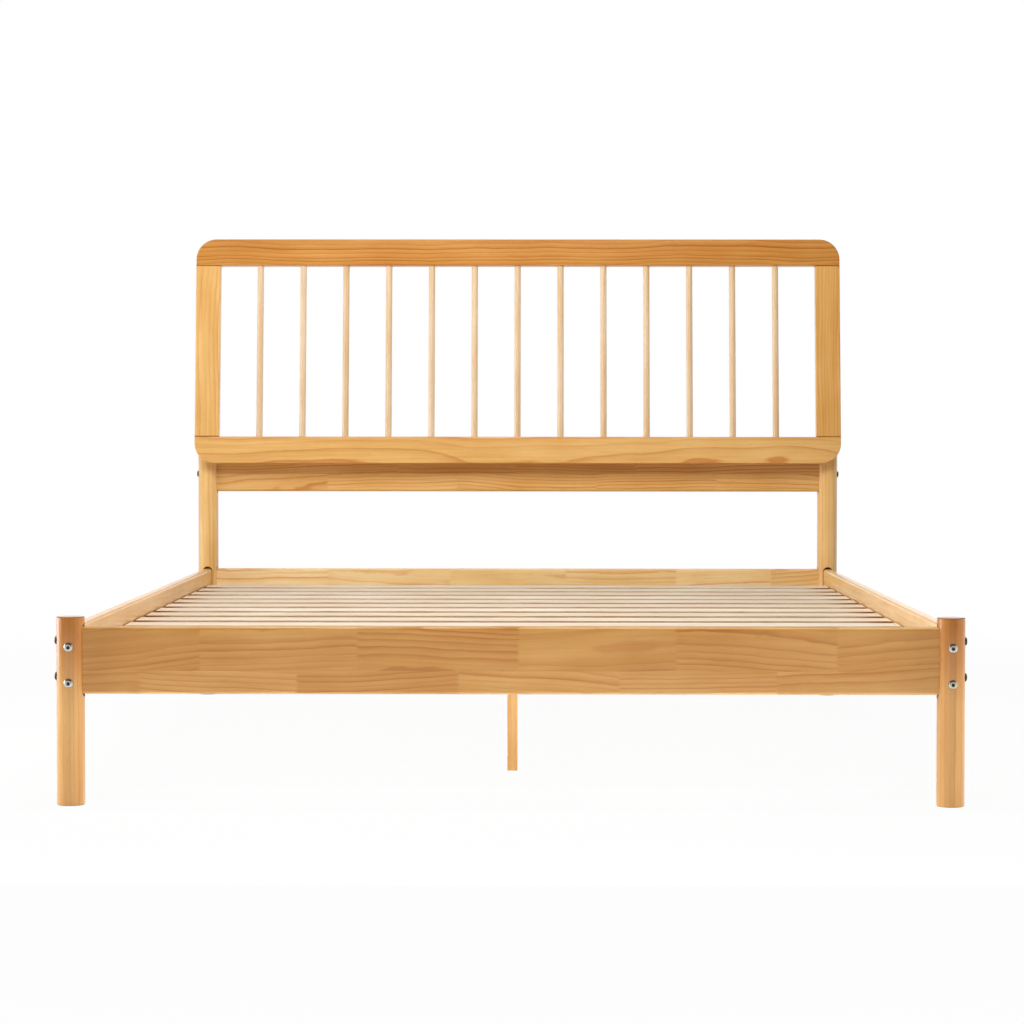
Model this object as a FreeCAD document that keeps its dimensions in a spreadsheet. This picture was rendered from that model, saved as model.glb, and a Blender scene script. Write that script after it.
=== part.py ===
import FreeCAD, Part
import math
import os
import re

import Sketcher

# Spindle bed in pine for a queen-size mattress.
# Four round posts carry two cross rails and two side rails, whose ends stand in routed
# seats and are drawn up by flanged bolts and barrel nuts.  The head posts are taller: a
# plain apron joins them, and a spindle headboard leans back against a slanted flat on
# each.  Slats lie on ledgers and on a centre beam, which has a leg of its own.
#
# Millimetres.  +X is to the right seen from the foot, +Y runs from foot to head, +Z is up.
# The origin is on the floor, in the middle of the bed's outline.

SIZES = {
    # mattress, and the play all round it between the rails
    "mattress_width": 1530,
    "mattress_length": 2030,
    "mattress_play": 5.5,
    # posts
    "post_diameter": 50,
    "foot_post_height": 335,
    "head_post_height": 850,
    "post_edge_round": 2,
    # cross rails and side rails
    "rail_thickness": 22,
    "rail_height": 120,
    "rail_bottom": 198,
    "rail_edge_round": 6,
    # routed seats that the rail ends stand in
    "seat_depth": 5,
    "seat_side_gap": 1,
    "seat_end_gap": 5.5,
    # apron between the head posts
    "apron_height": 88,
    "apron_bottom": 513,
    # flanged bolts and barrel nuts
    "bolt_diameter": 6,
    "bolt_head_diameter": 16.4,
    "bolt_head_height": 4.5,
    "bolt_rim_chamfer": 2.6,
    "bolt_socket_width": 5,
    "bolt_socket_depth": 2.6,
    "bolt_seat_depth": 1.6,
    "bolt_seat_clearance": 0.3,
    "bolt_bore_clearance": 0.5,
    "bolt_tail": 6.6,
    "bolt_pitch": 64,
    "cross_bolt_rise": 3,
    "side_bolt_rise": -8,
    "thread_clearance": 0.1,
    "nut_diameter": 10,
    "nut_length": 14,
    "nut_setback": 40,
    "nut_clearance": 0.15,
    # leaning headboard
    "panel_bottom": 585,
    "panel_height": 568,
    "panel_thickness": 25,
    "panel_lean": 6.45,
    "panel_overhang": 30,
    "panel_rail_height": 67,
    "panel_stile_width": 62,
    "panel_corner_radius": 51,
    "panel_edge_round": 3,
    "panel_joint_chamfer": 0.8,
    "panel_bolt_height": 110,
    "panel_bolt_top_gap": 35,
    "insert_diameter": 10,
    "insert_length": 13,
    "insert_clearance": 0.15,
    # spindles
    "spindle_diameter": 16,
    "spindle_tenon": 12,
    "spindle_clearance": 0.15,
    "spindle_chamfer": 1,
    # dowels
    "dowel_diameter": 8,
    "dowel_length": 40,
    "dowel_chamfer": 0.8,
    "dowel_clearance": 0.15,
    "dowel_pitch_in_panel": 32,
    "dowel_pitch_in_apron": 48,
    "dowel_depth_in_post": 14,
    # slats
    "slat_width": 90,
    "slat_thickness": 15,
    "slat_end_gap": 3,
    "slat_edge_round": 2.5,
    "slat_drop": 37,
    "first_slat_setback": 143.5,
    # ledgers on the side rails
    "ledger_width": 22,
    "ledger_height": 30,
    "ledger_setback": 60,
    "ledger_edge_round": 2,
    "ledger_screw_height": 8,
    "ledger_screw_setback": 55,
    # countersunk screws
    "screw_diameter": 4,
    "screw_head_diameter": 8,
    "screw_tip_chamfer": 1.2,
    "screw_slot_length": 4,
    "screw_slot_width": 1,
    "screw_slot_depth": 1,
    "screw_clearance": 0.1,
    "ledger_screw_length": 35,
    "slat_screw_length": 28,
    "screw_hole_spare": 0.5,
    # centre beam and the steel pockets that hold its ends
    "beam_thickness": 22,
    "beam_height": 66,
    "beam_edge_round": 3,
    "beam_play": 0.3,
    "bracket_plate": 2,
    "bracket_width": 68,
    "bracket_height": 58,
    "bracket_pocket": 30,
    "bracket_screw_spread": 50,
    "bracket_screw_pitch": 36,
    "bracket_screw_length": 16,
    "bracket_screw_head_height": 2.4,
    # leg under the centre beam
    "leg_setback": 516,
    "leg_width": 20,
    "leg_depth": 40,
    "leg_edge_round": 2,
    "hanger_bolt_diameter": 8,
    "hanger_bolt_length": 80,
    "hanger_bolt_chamfer": 0.8,
    "hanger_bolt_clearance": 0.15,
}

# Counts of like pieces.
SPINDLES = 13
SLATS = 13
LEDGER_SCREWS = 8

# Sizes that follow from the driving ones.
DERIVED = {
    "post_radius": "post_diameter / 2",
    "span_x": "mattress_width + 2 * mattress_play + rail_thickness",
    "span_y": "mattress_length + 2 * mattress_play + rail_thickness",
    "rail_middle": "rail_bottom + rail_height / 2",
    "apron_middle": "apron_bottom + apron_height / 2",
    "seat_plane": "post_radius - seat_depth",
    "seat_width": "rail_thickness + 2 * seat_side_gap",
    "cross_rail_length": "span_x - 2 * seat_plane",
    "side_rail_length": "span_y - 2 * seat_plane",
    # bolts
    "bolt_plane": "post_radius - bolt_seat_depth",
    "bolt_bore": "bolt_diameter + 2 * bolt_bore_clearance",
    "bolt_seat_diameter": "bolt_head_diameter + 2 * bolt_seat_clearance",
    "rail_bolt_length": "bolt_plane + seat_plane + nut_setback + bolt_tail",
    "thread_bore": "bolt_diameter + 2 * thread_clearance",
    "nut_bore": "nut_diameter + 2 * nut_clearance",
    # headboard: its back lower edge stands against the fronts of the head posts
    "panel_width": "span_x + 2 * panel_overhang",
    "panel_opening": "panel_width - 2 * panel_stile_width",
    "stile_length": "panel_height - 2 * panel_rail_height",
    "stile_x": "(panel_width - panel_stile_width) / 2",
    "panel_reach": "(panel_height - panel_edge_round) * sin(panel_lean)"
                   " + panel_edge_round * (1 - cos(panel_lean)) - post_radius",
    "panel_y": "head_y - post_radius - panel_thickness * cos(panel_lean)",
    "panel_back_foot": "panel_bottom - panel_thickness * sin(panel_lean)",
    "panel_bolt_pitch": "head_post_height - panel_bottom - panel_bolt_height"
                        " - panel_bolt_top_gap",
    # the bed's outline is centred on the origin
    "foot_reach": "bolt_plane + bolt_head_height",
    "foot_y": "(foot_reach - panel_reach - span_y) / 2",
    "head_y": "foot_y + span_y",
    "middle_y": "foot_y + span_y / 2",
    # slats, ledgers, beam and leg
    "well_width": "span_x - rail_thickness",
    "slat_top": "rail_bottom + rail_height - slat_drop",
    "ledger_top": "slat_top - slat_thickness",
    "ledger_x": "(well_width - ledger_width) / 2",
    "ledger_length": "span_y - 2 * ledger_setback",
    "slat_length": "well_width - 2 * slat_end_gap",
    "beam_bottom": "ledger_top - beam_height",
    "beam_length": "span_y - rail_thickness - 2 * (bracket_plate + beam_play)",
    "ledger_screw_z": "ledger_top - ledger_height + ledger_screw_height",
    "bracket_middle": "beam_bottom - bracket_plate + bracket_height / 2",
    "leg_y": "leg_setback - span_y / 2",
    "hanger_bore": "hanger_bolt_diameter + 2 * hanger_bolt_clearance",
    # screws and dowels
    "screw_bore": "screw_diameter + 2 * screw_clearance",
    "countersink": "(screw_head_diameter - screw_diameter) / 2",
    "dowel_bore": "dowel_diameter + 2 * dowel_clearance",
    "spindle_bore": "spindle_diameter + 2 * spindle_clearance",
}

# Which way is inward from each end of the bed, and outward on each side.
INWARD = {"foot": 1, "head": -1}
OUTWARD = {"left": -1, "right": 1}


def spread(count, pitch):
    """Places of a row of like pieces, evenly spaced about the middle."""
    return [f"{i - (count - 1) / 2} * ({pitch})" for i in range(count)]


def bolt_heights(rise, middle="rail_middle"):
    """Heights of the pair of bolts at a rail's end."""
    return [f"{middle} + {rise} + bolt_pitch / 2", f"{middle} + {rise} - bolt_pitch / 2"]


SPINDLE_SPOTS = spread(SPINDLES, f"(panel_opening + spindle_diameter) / {SPINDLES + 1}")
SLAT_SPOTS = spread(SLATS, f"(span_y - 2 * first_slat_setback) / {SLATS - 1}")
LEDGER_SCREW_SPOTS = spread(
    LEDGER_SCREWS, f"(ledger_length - 2 * ledger_screw_setback) / {LEDGER_SCREWS - 1}")
PANEL_BOLTS = ["panel_bolt_height", "panel_bolt_height + panel_bolt_pitch"]
PANEL_DOWELS = [f"{side} * stile_x + {step} * dowel_pitch_in_panel / 2"
                for side in (-1, 1) for step in (-1, 1)]
APRON_DOWELS = [f"{step} * dowel_pitch_in_apron / 2" for step in (1, -1)]
BRACKET_SCREWS = [(f"{i} * bracket_screw_spread / 2", f"{j} * bracket_screw_pitch / 2")
                  for i in (1, -1) for j in (1, -1)]

X_AXIS = (1, 0, 0)
Y_AXIS = (0, 1, 0)
Z_AXIS = (0, 0, 1)
LEAN_AXIS = (-1, 0, 0)


def expand(formula):
    """Write the names in a formula out as cells of the sheet of sizes."""
    def cell(match):
        word = match.group(0)
        if word in DERIVED:
            return "(" + expand(DERIVED[word]) + ")"
        if word in SIZES:
            return "Sizes." + word
        return word
    return re.sub(r"[a-z_]+", cell, formula)


doc = FreeCAD.newDocument("SpindleBed")
sheet = doc.addObject("Spreadsheet::Sheet", "Sizes")
for row, (alias, number) in enumerate(SIZES.items(), 1):
    sheet.set(f"A{row}", alias)
    sheet.set(f"B{row}", str(number))
    sheet.setAlias(f"B{row}", alias)
doc.recompute()

nodes = []


def value(formula):
    """Number that a formula gives now."""
    return float(sheet.evalExpression(expand(formula)))


def bind(thing, path, formula):
    """Bind a property to a formula of the sheet's sizes."""
    thing.setExpression(path, expand(formula))


def place(thing, x, y, z, axis=Z_AXIS, angle="0", path="Placement"):
    """Set a piece at formulas x, y, z, turned by a formula in degrees about an axis."""
    turn = FreeCAD.Rotation(FreeCAD.Vector(*axis), value(angle))
    setattr(thing, path, FreeCAD.Placement(FreeCAD.Vector(), turn))
    for name, formula in zip("xyz", (x, y, z)):
        bind(thing, f"{path}.Base.{name}", formula)
    if re.search("[a-z]", angle):
        bind(thing, f"{path}.Rotation.Angle", angle)


def in_panel(y, z):
    """Formulas of the bed's Y and Z for a point in the headboard's own frame."""
    return (f"panel_y + ({y}) * cos(panel_lean) + ({z}) * sin(panel_lean)",
            f"panel_bottom - ({y}) * sin(panel_lean) + ({z}) * cos(panel_lean)")


def place_in_panel(thing, x, y, z):
    """Set a piece at x, y, z in the headboard's own frame, which leans back."""
    place(thing, x, *in_panel(y, z), axis=LEAN_AXIS, angle="panel_lean")


# ---- sketches and features ------------------------------------------------------------

def new_body(label):
    body = doc.addObject("PartDesign::Body", label)
    body.Label = label
    return body


def new_node(label):
    """Body of one piece that is written to a file of its own."""
    body = new_body(label)
    nodes.append(body)
    return body


def add_sketch(body, plane, offset=("0", "0", "0"), tilt="0"):
    """Sketch on a plane of the body's origin, moved by formulas in the plane's own axes.

    tilt leans it back about its own X.
    """
    sketch = body.newObject("Sketcher::SketchObject", body.Label + "_sketch")
    planes = body.Origin.OriginFeatures
    sketch.AttachmentSupport = [(next(p for p in planes if p.Role == plane + "_Plane"), "")]
    sketch.MapMode = "FlatFace"
    place(sketch, *offset, axis=LEAN_AXIS, angle=tilt, path="AttachmentOffset")
    return sketch


def add_size(sketch, name, formula, kind, *where):
    """Named constraint bound to a formula."""
    index = sketch.addConstraint(Sketcher.Constraint(kind, *where, value(formula)))
    sketch.renameConstraint(index, name)
    bind(sketch, "Constraints." + name, formula)


def draw_rectangle(sketch, width, height):
    """Rectangle centred on the sketch's origin."""
    x = value(width) / 2
    y = value(height) / 2
    corners = [FreeCAD.Vector(*c, 0) for c in ((-x, -y), (x, -y), (x, y), (-x, y))]
    sides = [Part.LineSegment(corners[i], corners[(i + 1) % 4]) for i in range(4)]
    sketch.addGeometry(sides, False)
    for i in range(4):
        sketch.addConstraint(Sketcher.Constraint("Coincident", i, 2, (i + 1) % 4, 1))
    for i, way in enumerate(("Horizontal", "Vertical") * 2):
        sketch.addConstraint(Sketcher.Constraint(way, i))
    sketch.addConstraint(Sketcher.Constraint("Symmetric", 0, 1, 2, 1, -1, 1))
    add_size(sketch, "width", width, "DistanceX", 0, 1, 0, 2)
    add_size(sketch, "height", height, "DistanceY", 1, 1, 1, 2)
    return sketch


def draw_slot(sketch, width, height):
    """Upright slot with half-round ends, centred on the sketch's origin."""
    r = value(width) / 2
    c = value(height) / 2 - r
    up = FreeCAD.Vector(0, 0, 1)
    sketch.addGeometry([
        Part.LineSegment(FreeCAD.Vector(r, -c, 0), FreeCAD.Vector(r, c, 0)),
        Part.ArcOfCircle(Part.Circle(FreeCAD.Vector(0, c, 0), up, r), 0, math.pi),
        Part.LineSegment(FreeCAD.Vector(-r, c, 0), FreeCAD.Vector(-r, -c, 0)),
        Part.ArcOfCircle(Part.Circle(FreeCAD.Vector(0, -c, 0), up, r), math.pi, 2 * math.pi),
    ], False)
    for first, end, second, start in ((0, 2, 1, 1), (1, 2, 2, 1), (2, 2, 3, 1), (3, 2, 0, 1)):
        sketch.addConstraint(Sketcher.Constraint("Tangent", first, end, second, start))
    sketch.addConstraint(Sketcher.Constraint("Vertical", 0))
    sketch.addConstraint(Sketcher.Constraint("Symmetric", 1, 3, 3, 3, -1, 1))
    add_size(sketch, "radius", f"({width}) / 2", "Radius", 1)
    add_size(sketch, "straight", f"({height}) - ({width})", "DistanceY", 3, 3, 1, 3)
    return sketch


def draw_circles(sketch, diameter, centres=(("0", "0"),)):
    """Circles of one diameter at formulas x, y."""
    for i, (x, y) in enumerate(centres):
        middle = FreeCAD.Vector(value(x), value(y), 0)
        circle = Part.Circle(middle, FreeCAD.Vector(0, 0, 1), value(diameter) / 2)
        sketch.addGeometry(circle, False)
        add_size(sketch, f"diameter_{i}", diameter, "Diameter", i)
        add_size(sketch, f"x_{i}", x, "DistanceX", -1, 1, i, 3)
        add_size(sketch, f"y_{i}", y, "DistanceY", -1, 1, i, 3)
    return sketch


def draw_hexagon(sketch, width):
    """Regular hexagon across its flats, centred on the sketch's origin."""
    across = value(width) / 3 ** 0.5
    turns = [FreeCAD.Rotation(FreeCAD.Vector(0, 0, 1), 60 * i) for i in range(6)]
    corners = [turn.multVec(FreeCAD.Vector(across, 0, 0)) for turn in turns]
    sketch.addGeometry([Part.LineSegment(corners[i], corners[(i + 1) % 6]) for i in range(6)],
                       False)
    ring = Part.Circle(FreeCAD.Vector(), FreeCAD.Vector(0, 0, 1), across)
    sketch.addGeometry(ring, True)
    for i in range(6):
        sketch.addConstraint(Sketcher.Constraint("Coincident", i, 2, (i + 1) % 6, 1))
        sketch.addConstraint(Sketcher.Constraint("PointOnObject", i, 1, 6))
    for i in range(1, 6):
        sketch.addConstraint(Sketcher.Constraint("Equal", 0, i))
    sketch.addConstraint(Sketcher.Constraint("Coincident", 6, 3, -1, 1))
    sketch.addConstraint(Sketcher.Constraint("PointOnObject", 0, 1, -1))
    add_size(sketch, "corners", f"2 * {width} / sqrt(3)", "Diameter", 6)
    return sketch


def pad(body, sketch, length, reverse=False):
    feature = body.newObject("PartDesign::Pad", body.Label + "_pad")
    feature.Profile = sketch
    feature.Reversed = reverse
    bind(feature, "Length", length)
    doc.recompute()
    return feature


def pocket(body, sketch, depth, reverse=False):
    """Cut against the sketch's normal, or along it when reversed."""
    before = body.Shape.Volume
    feature = body.newObject("PartDesign::Pocket", body.Label + "_pocket")
    feature.Profile = sketch
    feature.Reversed = reverse
    bind(feature, "Length", depth)
    doc.recompute()
    if not feature.Shape.Volume < before:
        raise RuntimeError(feature.Label + " cuts nothing")
    return feature


def dress(body, kind, wanted, amount):
    """Fillet or chamfer the edges of the body's tip that the test picks."""
    base = body.Tip
    names = [f"Edge{i}" for i, edge in enumerate(base.Shape.Edges, 1) if wanted(edge)]
    feature = body.newObject("PartDesign::" + kind, body.Label + "_" + kind.lower())
    feature.Base = (base, names)
    bind(feature, "Radius" if kind == "Fillet" else "Size", amount)
    doc.recompute()
    return feature


def along(axis):
    """Test for straight edges that run along an axis, 0 for X to 2 for Z."""
    def test(edge):
        if not isinstance(edge.Curve, Part.Line):
            return False
        return abs(edge.Curve.Direction[axis]) > 0.999
    return test


def on_plane(axis, *places):
    """Test for edges that lie in planes across an axis at the given places."""
    def test(edge):
        box = edge.BoundBox
        low = (box.XMin, box.YMin, box.ZMin)[axis]
        high = (box.XMax, box.YMax, box.ZMax)[axis]
        return any(abs(low - p) < 0.01 and abs(high - p) < 0.01 for p in places)
    return test


def rounds_on_plane(axis, spot, diameter):
    """Test for full circles of a diameter that lie in one plane across an axis."""
    flat = on_plane(axis, spot)

    def test(edge):
        if not isinstance(edge.Curve, Part.Circle) or not flat(edge):
            return False
        return abs(edge.Curve.Radius - diameter / 2) < 0.01
    return test


def pin(label, diameter, length, chamfer):
    """Round bar along Z from its own origin, with both ends chamfered."""
    body = new_body(label)
    pad(body, draw_circles(add_sketch(body, "XY"), diameter), length)
    dress(body, "Chamfer", on_plane(2, 0, value(length)), chamfer)
    return body


# ---- posts ----------------------------------------------------------------------------

def cut_rail_joint(body, plane, inward, middle, height, heights):
    """Seat for a rail's end, with bolt bores and flats for their heads on the far side.

    plane is YZ for a rail along X and XZ for one along Y.  inward is +1 where the rail
    lies on the side that the plane's normal points to.
    """
    seat = add_sketch(body, plane, ("0", middle, f"{inward} * seat_plane"))
    draw_slot(seat, "seat_width", f"{height} + 2 * seat_end_gap")
    pocket(body, seat, "post_radius", reverse=inward > 0)
    centres = [("0", z) for z in heights]
    bore = add_sketch(body, plane, ("0", "0", f"-{inward} * post_diameter"))
    draw_circles(bore, "bolt_bore", centres)
    pocket(body, bore, "2 * post_diameter", reverse=inward > 0)
    flat = add_sketch(body, plane, ("0", "0", f"-{inward} * bolt_plane"))
    draw_circles(flat, "bolt_seat_diameter", centres)
    pocket(body, flat, "post_radius", reverse=inward < 0)


def panel_bolt_seat(along_panel):
    """Distance from the headboard's back to the bolt's flat, square to the headboard."""
    return (f"(post_diameter - ({along_panel}) * sin(panel_lean)) / cos(panel_lean)"
            " - bolt_seat_depth - bolt_head_diameter / 2 * tan(panel_lean)")


def cut_panel_joint(body):
    """Slanted flat that the headboard lies on, and the bores of its bolts."""
    foot = ("0", "panel_back_foot", "post_radius")
    flat = add_sketch(body, "XZ", foot, tilt="panel_lean")
    draw_rectangle(flat, "2 * post_diameter", "2 * head_post_height")
    bore = add_sketch(body, "XZ", foot, tilt="panel_lean")
    draw_circles(bore, "bolt_bore", [("0", v) for v in PANEL_BOLTS])
    pocket(body, bore, "2 * post_diameter")
    for v in PANEL_BOLTS:
        seat = panel_bolt_seat(v)
        head = add_sketch(body, "XZ", (
            "0",
            f"panel_back_foot - ({seat}) * sin(panel_lean)",
            f"post_radius - ({seat}) * cos(panel_lean)"), tilt="panel_lean")
        draw_circles(head, "bolt_seat_diameter", [("0", v)])
        pocket(body, head, "post_radius")
    pocket(body, flat, "post_diameter", reverse=True)


def cut_apron_dowels(body, inward):
    """Holes in a head post's seat for the apron's dowels."""
    sketch = add_sketch(body, "YZ", ("0", "apron_middle", f"{inward} * seat_plane"))
    draw_circles(sketch, "dowel_bore", [("0", z) for z in APRON_DOWELS])
    pocket(body, sketch, "dowel_depth_in_post", reverse=inward < 0)


def make_post(end, side):
    """Round post at the foot or head of the bed, on its left or right side."""
    body = new_node(f"{end}_post_{side}")
    height = f"{end}_post_height"
    x_inward = -OUTWARD[side]
    y_inward = INWARD[end]
    pad(body, draw_circles(add_sketch(body, "XY"), "post_diameter"), height)
    dress(body, "Fillet", on_plane(2, 0, value(height)), "post_edge_round")
    cut_rail_joint(body, "YZ", x_inward, "rail_middle", "rail_height",
                   bolt_heights("cross_bolt_rise"))
    cut_rail_joint(body, "XZ", -y_inward, "rail_middle", "rail_height",
                   bolt_heights("side_bolt_rise"))
    if end == "head":
        cut_rail_joint(body, "YZ", x_inward, "apron_middle", "apron_height", ["apron_middle"])
        cut_apron_dowels(body, x_inward)
        cut_panel_joint(body)
    place(body, f"-{x_inward} * span_x / 2", f"{end}_y", "0")


# ---- rails and apron ------------------------------------------------------------------

def cut_rail_ends(body, length, heights, nut_face):
    """Bolt bores in both ends, and the barrel nuts' bores.

    nut_face is the side that the nuts go in from, 1 for the board's own +Y and -1 for -Y.
    """
    centres = [("0", z) for z in heights]
    for end in (1, -1):
        bore = add_sketch(body, "YZ", ("0", "0", f"{end} * {length} / 2"))
        draw_circles(bore, "bolt_bore", centres)
        pocket(body, bore, "nut_setback + bolt_tail + screw_hole_spare", reverse=end < 0)
    nuts = add_sketch(body, "XZ", ("0", "0", f"-{nut_face} * rail_thickness / 2"))
    draw_circles(nuts, "nut_bore", [
        (f"{end} * ({length} / 2 - nut_setback)", z) for end in (1, -1) for z in heights])
    pocket(body, nuts, "(rail_thickness + nut_length) / 2", reverse=nut_face > 0)


def make_board(label, length, height):
    """Board on edge, centred on its own origin, with its long edges rounded."""
    body = new_node(label)
    sketch = add_sketch(body, "YZ", ("0", "0", f"-{length} / 2"))
    pad(body, draw_rectangle(sketch, "rail_thickness", height), length)
    dress(body, "Fillet", along(0), "rail_edge_round")
    return body


def make_cross_rail(end):
    """Rail between two posts, with pilot holes for the centre beam's bracket.

    Its own +Y is its inner face.  Both cross rails take their nuts from behind.
    """
    body = make_board(f"{end}_rail", "cross_rail_length", "rail_height")
    cut_rail_ends(body, "cross_rail_length", bolt_heights("cross_bolt_rise", "0"),
                  nut_face=INWARD[end])
    pilots = add_sketch(body, "XZ", ("0", "bracket_middle - rail_middle", "-rail_thickness / 2"))
    draw_circles(pilots, "screw_bore", BRACKET_SCREWS)
    pocket(body, pilots, "bracket_screw_length + screw_hole_spare", reverse=True)
    place(body, "0", f"{end}_y", "rail_middle", angle="0" if end == "foot" else "180")


def make_side_rail(side):
    """Rail along the bed, with its nuts and the ledger's screws in its inner face."""
    body = make_board(f"side_rail_{side}", "side_rail_length", "rail_height")
    cut_rail_ends(body, "side_rail_length", bolt_heights("side_bolt_rise", "0"), nut_face=1)
    pilots = add_sketch(body, "XZ", ("0", "0", "-rail_thickness / 2"))
    draw_circles(pilots, "screw_bore", [
        (spot, "ledger_screw_z - rail_middle") for spot in LEDGER_SCREW_SPOTS])
    pocket(body, pilots, "ledger_screw_length - ledger_width + screw_hole_spare",
           reverse=True)
    sign = OUTWARD[side]
    place(body, f"{sign} * span_x / 2", "middle_y", "rail_middle", angle=str(sign * 90))


def make_apron():
    """Board between the head posts, with one bolt and two dowels at each end."""
    body = make_board("headboard_apron", "cross_rail_length", "apron_height")
    cut_rail_ends(body, "cross_rail_length", ["0"], nut_face=1)
    for end in (1, -1):
        sketch = add_sketch(body, "YZ", ("0", "0", f"{end} * cross_rail_length / 2"))
        draw_circles(sketch, "dowel_bore", [("0", z) for z in APRON_DOWELS])
        pocket(body, sketch, "dowel_length - dowel_depth_in_post", reverse=end < 0)
    place(body, "0", "head_y", "apron_middle")


# ---- headboard ------------------------------------------------------------------------

def make_panel_rail(end):
    """Top or bottom rail of the headboard, with two large round corners.

    Its own origin is in the middle of its front edge, on the side of the spindles.
    """
    body = new_node(f"headboard_{end}_rail")
    way = 1 if end == "top" else -1
    outline = add_sketch(body, "XZ", ("0", f"{way} * panel_rail_height / 2", "0"))
    pad(body, draw_rectangle(outline, "panel_width", "panel_rail_height"),
        "panel_thickness", reverse=True)

    def outer_corner(edge):
        return along(1)(edge) and way * edge.BoundBox.ZMax > value("panel_rail_height") / 2

    dress(body, "Fillet", outer_corner, "panel_corner_radius")
    dress(body, "Fillet", on_plane(1, 0, value("panel_thickness")), "panel_edge_round")
    middle = "panel_thickness / 2"
    holes = add_sketch(body, "XY")
    draw_circles(holes, "spindle_bore", [(x, middle) for x in SPINDLE_SPOTS])
    pocket(body, holes, "spindle_tenon", reverse=way > 0)
    dowels = add_sketch(body, "XY")
    draw_circles(dowels, "dowel_bore", [(x, middle) for x in PANEL_DOWELS])
    pocket(body, dowels, "dowel_length / 2", reverse=way > 0)
    height = "panel_height - panel_rail_height" if way > 0 else "panel_rail_height"
    place_in_panel(body, "0", "0", height)


def make_stile(side):
    """Upright of the headboard: dowelled into both rails, with inserts in its back."""
    body = new_node(f"headboard_stile_{side}")
    sign = OUTWARD[side]
    foot = add_sketch(body, "XY", ("0", "panel_thickness / 2", "0"))
    pad(body, draw_rectangle(foot, "panel_stile_width", "panel_thickness"), "stile_length")
    dress(body, "Fillet", along(2), "panel_edge_round")
    dress(body, "Chamfer", on_plane(2, 0, value("stile_length")), "panel_joint_chamfer")
    for end, height in ((-1, "0"), (1, "stile_length")):
        dowels = add_sketch(body, "XY", ("0", "panel_thickness / 2", height))
        draw_circles(dowels, "dowel_bore", [
            (f"{i} * dowel_pitch_in_panel / 2", "0") for i in (1, -1)])
        pocket(body, dowels, "dowel_length / 2", reverse=end < 0)
    inserts = add_sketch(body, "XZ", ("0", "-panel_rail_height", "-panel_thickness"))
    draw_circles(inserts, "insert_diameter + 2 * insert_clearance",
                 [(f"{sign} * (span_x / 2 - stile_x)", v) for v in PANEL_BOLTS])
    pocket(body, inserts, "insert_length", reverse=True)
    place_in_panel(body, f"{sign} * stile_x", "0", "panel_rail_height")


def make_spindles():
    """Plain round spindles, let into both rails of the headboard."""
    for number, x in enumerate(SPINDLE_SPOTS, 1):
        spindle = pin(f"spindle_{number:02d}", "spindle_diameter",
                      "stile_length + 2 * spindle_tenon", "spindle_chamfer")
        place_in_panel(spindle, x, "panel_thickness / 2", "panel_rail_height - spindle_tenon")
        nodes.append(spindle)


# ---- slats, ledgers, beam and leg -----------------------------------------------------

def make_slats():
    """Slats across the bed, each with a countersunk hole over each ledger."""
    for number, y in enumerate(SLAT_SPOTS, 1):
        body = new_node(f"slat_{number:02d}")
        outline = add_sketch(body, "YZ", ("0", "slat_thickness / 2", "-slat_length / 2"))
        pad(body, draw_rectangle(outline, "slat_width", "slat_thickness"), "slat_length")
        dress(body, "Fillet", along(0), "slat_edge_round")
        holes = add_sketch(body, "XY", ("0", "0", "slat_thickness"))
        draw_circles(holes, "screw_bore", [("ledger_x", "0"), ("-ledger_x", "0")])
        pocket(body, holes, "2 * slat_thickness")
        rims = rounds_on_plane(2, value("slat_thickness"), value("screw_bore"))
        dress(body, "Chamfer", rims, "countersink")
        place(body, "0", f"middle_y + ({y})", "ledger_top")


def make_ledger(side):
    """Batten on a side rail's inner face, with pilot holes for the slats' screws."""
    body = new_node(f"slat_ledger_{side}")
    sign = OUTWARD[side]
    outline = add_sketch(body, "XZ", ("0", "-ledger_height / 2", "-ledger_length / 2"))
    pad(body, draw_rectangle(outline, "ledger_width", "ledger_height"), "ledger_length")
    dress(body, "Fillet", along(1), "ledger_edge_round")
    pilots = add_sketch(body, "XY")
    draw_circles(pilots, "screw_bore", [("0", y) for y in SLAT_SPOTS])
    pocket(body, pilots, "slat_screw_length - slat_thickness + screw_hole_spare")
    face = add_sketch(body, "YZ", ("0", "-ledger_height + ledger_screw_height",
                                   f"-{sign} * ledger_width / 2"))
    draw_circles(face, "screw_bore", [(y, "0") for y in LEDGER_SCREW_SPOTS])
    pocket(body, face, "2 * ledger_width", reverse=sign > 0)
    rims = rounds_on_plane(0, -sign * value("ledger_width") / 2, value("screw_bore"))
    dress(body, "Chamfer", rims, "countersink")
    place(body, f"{sign} * ledger_x", "middle_y", "ledger_top")


def make_beam():
    """Beam along the middle of the bed, on edge, under the slats."""
    body = new_node("centre_beam")
    outline = add_sketch(body, "XZ", ("0", "beam_height / 2", "-beam_length / 2"))
    pad(body, draw_rectangle(outline, "beam_thickness", "beam_height"), "beam_length")
    dress(body, "Fillet", along(1), "beam_edge_round")
    bores = add_sketch(body, "XY")
    draw_circles(bores, "hanger_bore", [("0", "leg_y")])
    pocket(body, bores, "hanger_bolt_length / 2", reverse=True)
    place(body, "0", "middle_y", "beam_bottom")


def make_leg():
    """Square-cut leg under the beam, with a hanger bolt let into its top."""
    body = new_node("centre_leg")
    pad(body, draw_rectangle(add_sketch(body, "XY"), "leg_width", "leg_depth"), "beam_bottom")
    dress(body, "Fillet", along(2), "leg_edge_round")
    bore = add_sketch(body, "XY", ("0", "0", "beam_bottom"))
    draw_circles(bore, "hanger_bore")
    pocket(body, bore, "hanger_bolt_length / 2")
    place(body, "0", "middle_y + leg_y", "0")


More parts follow.
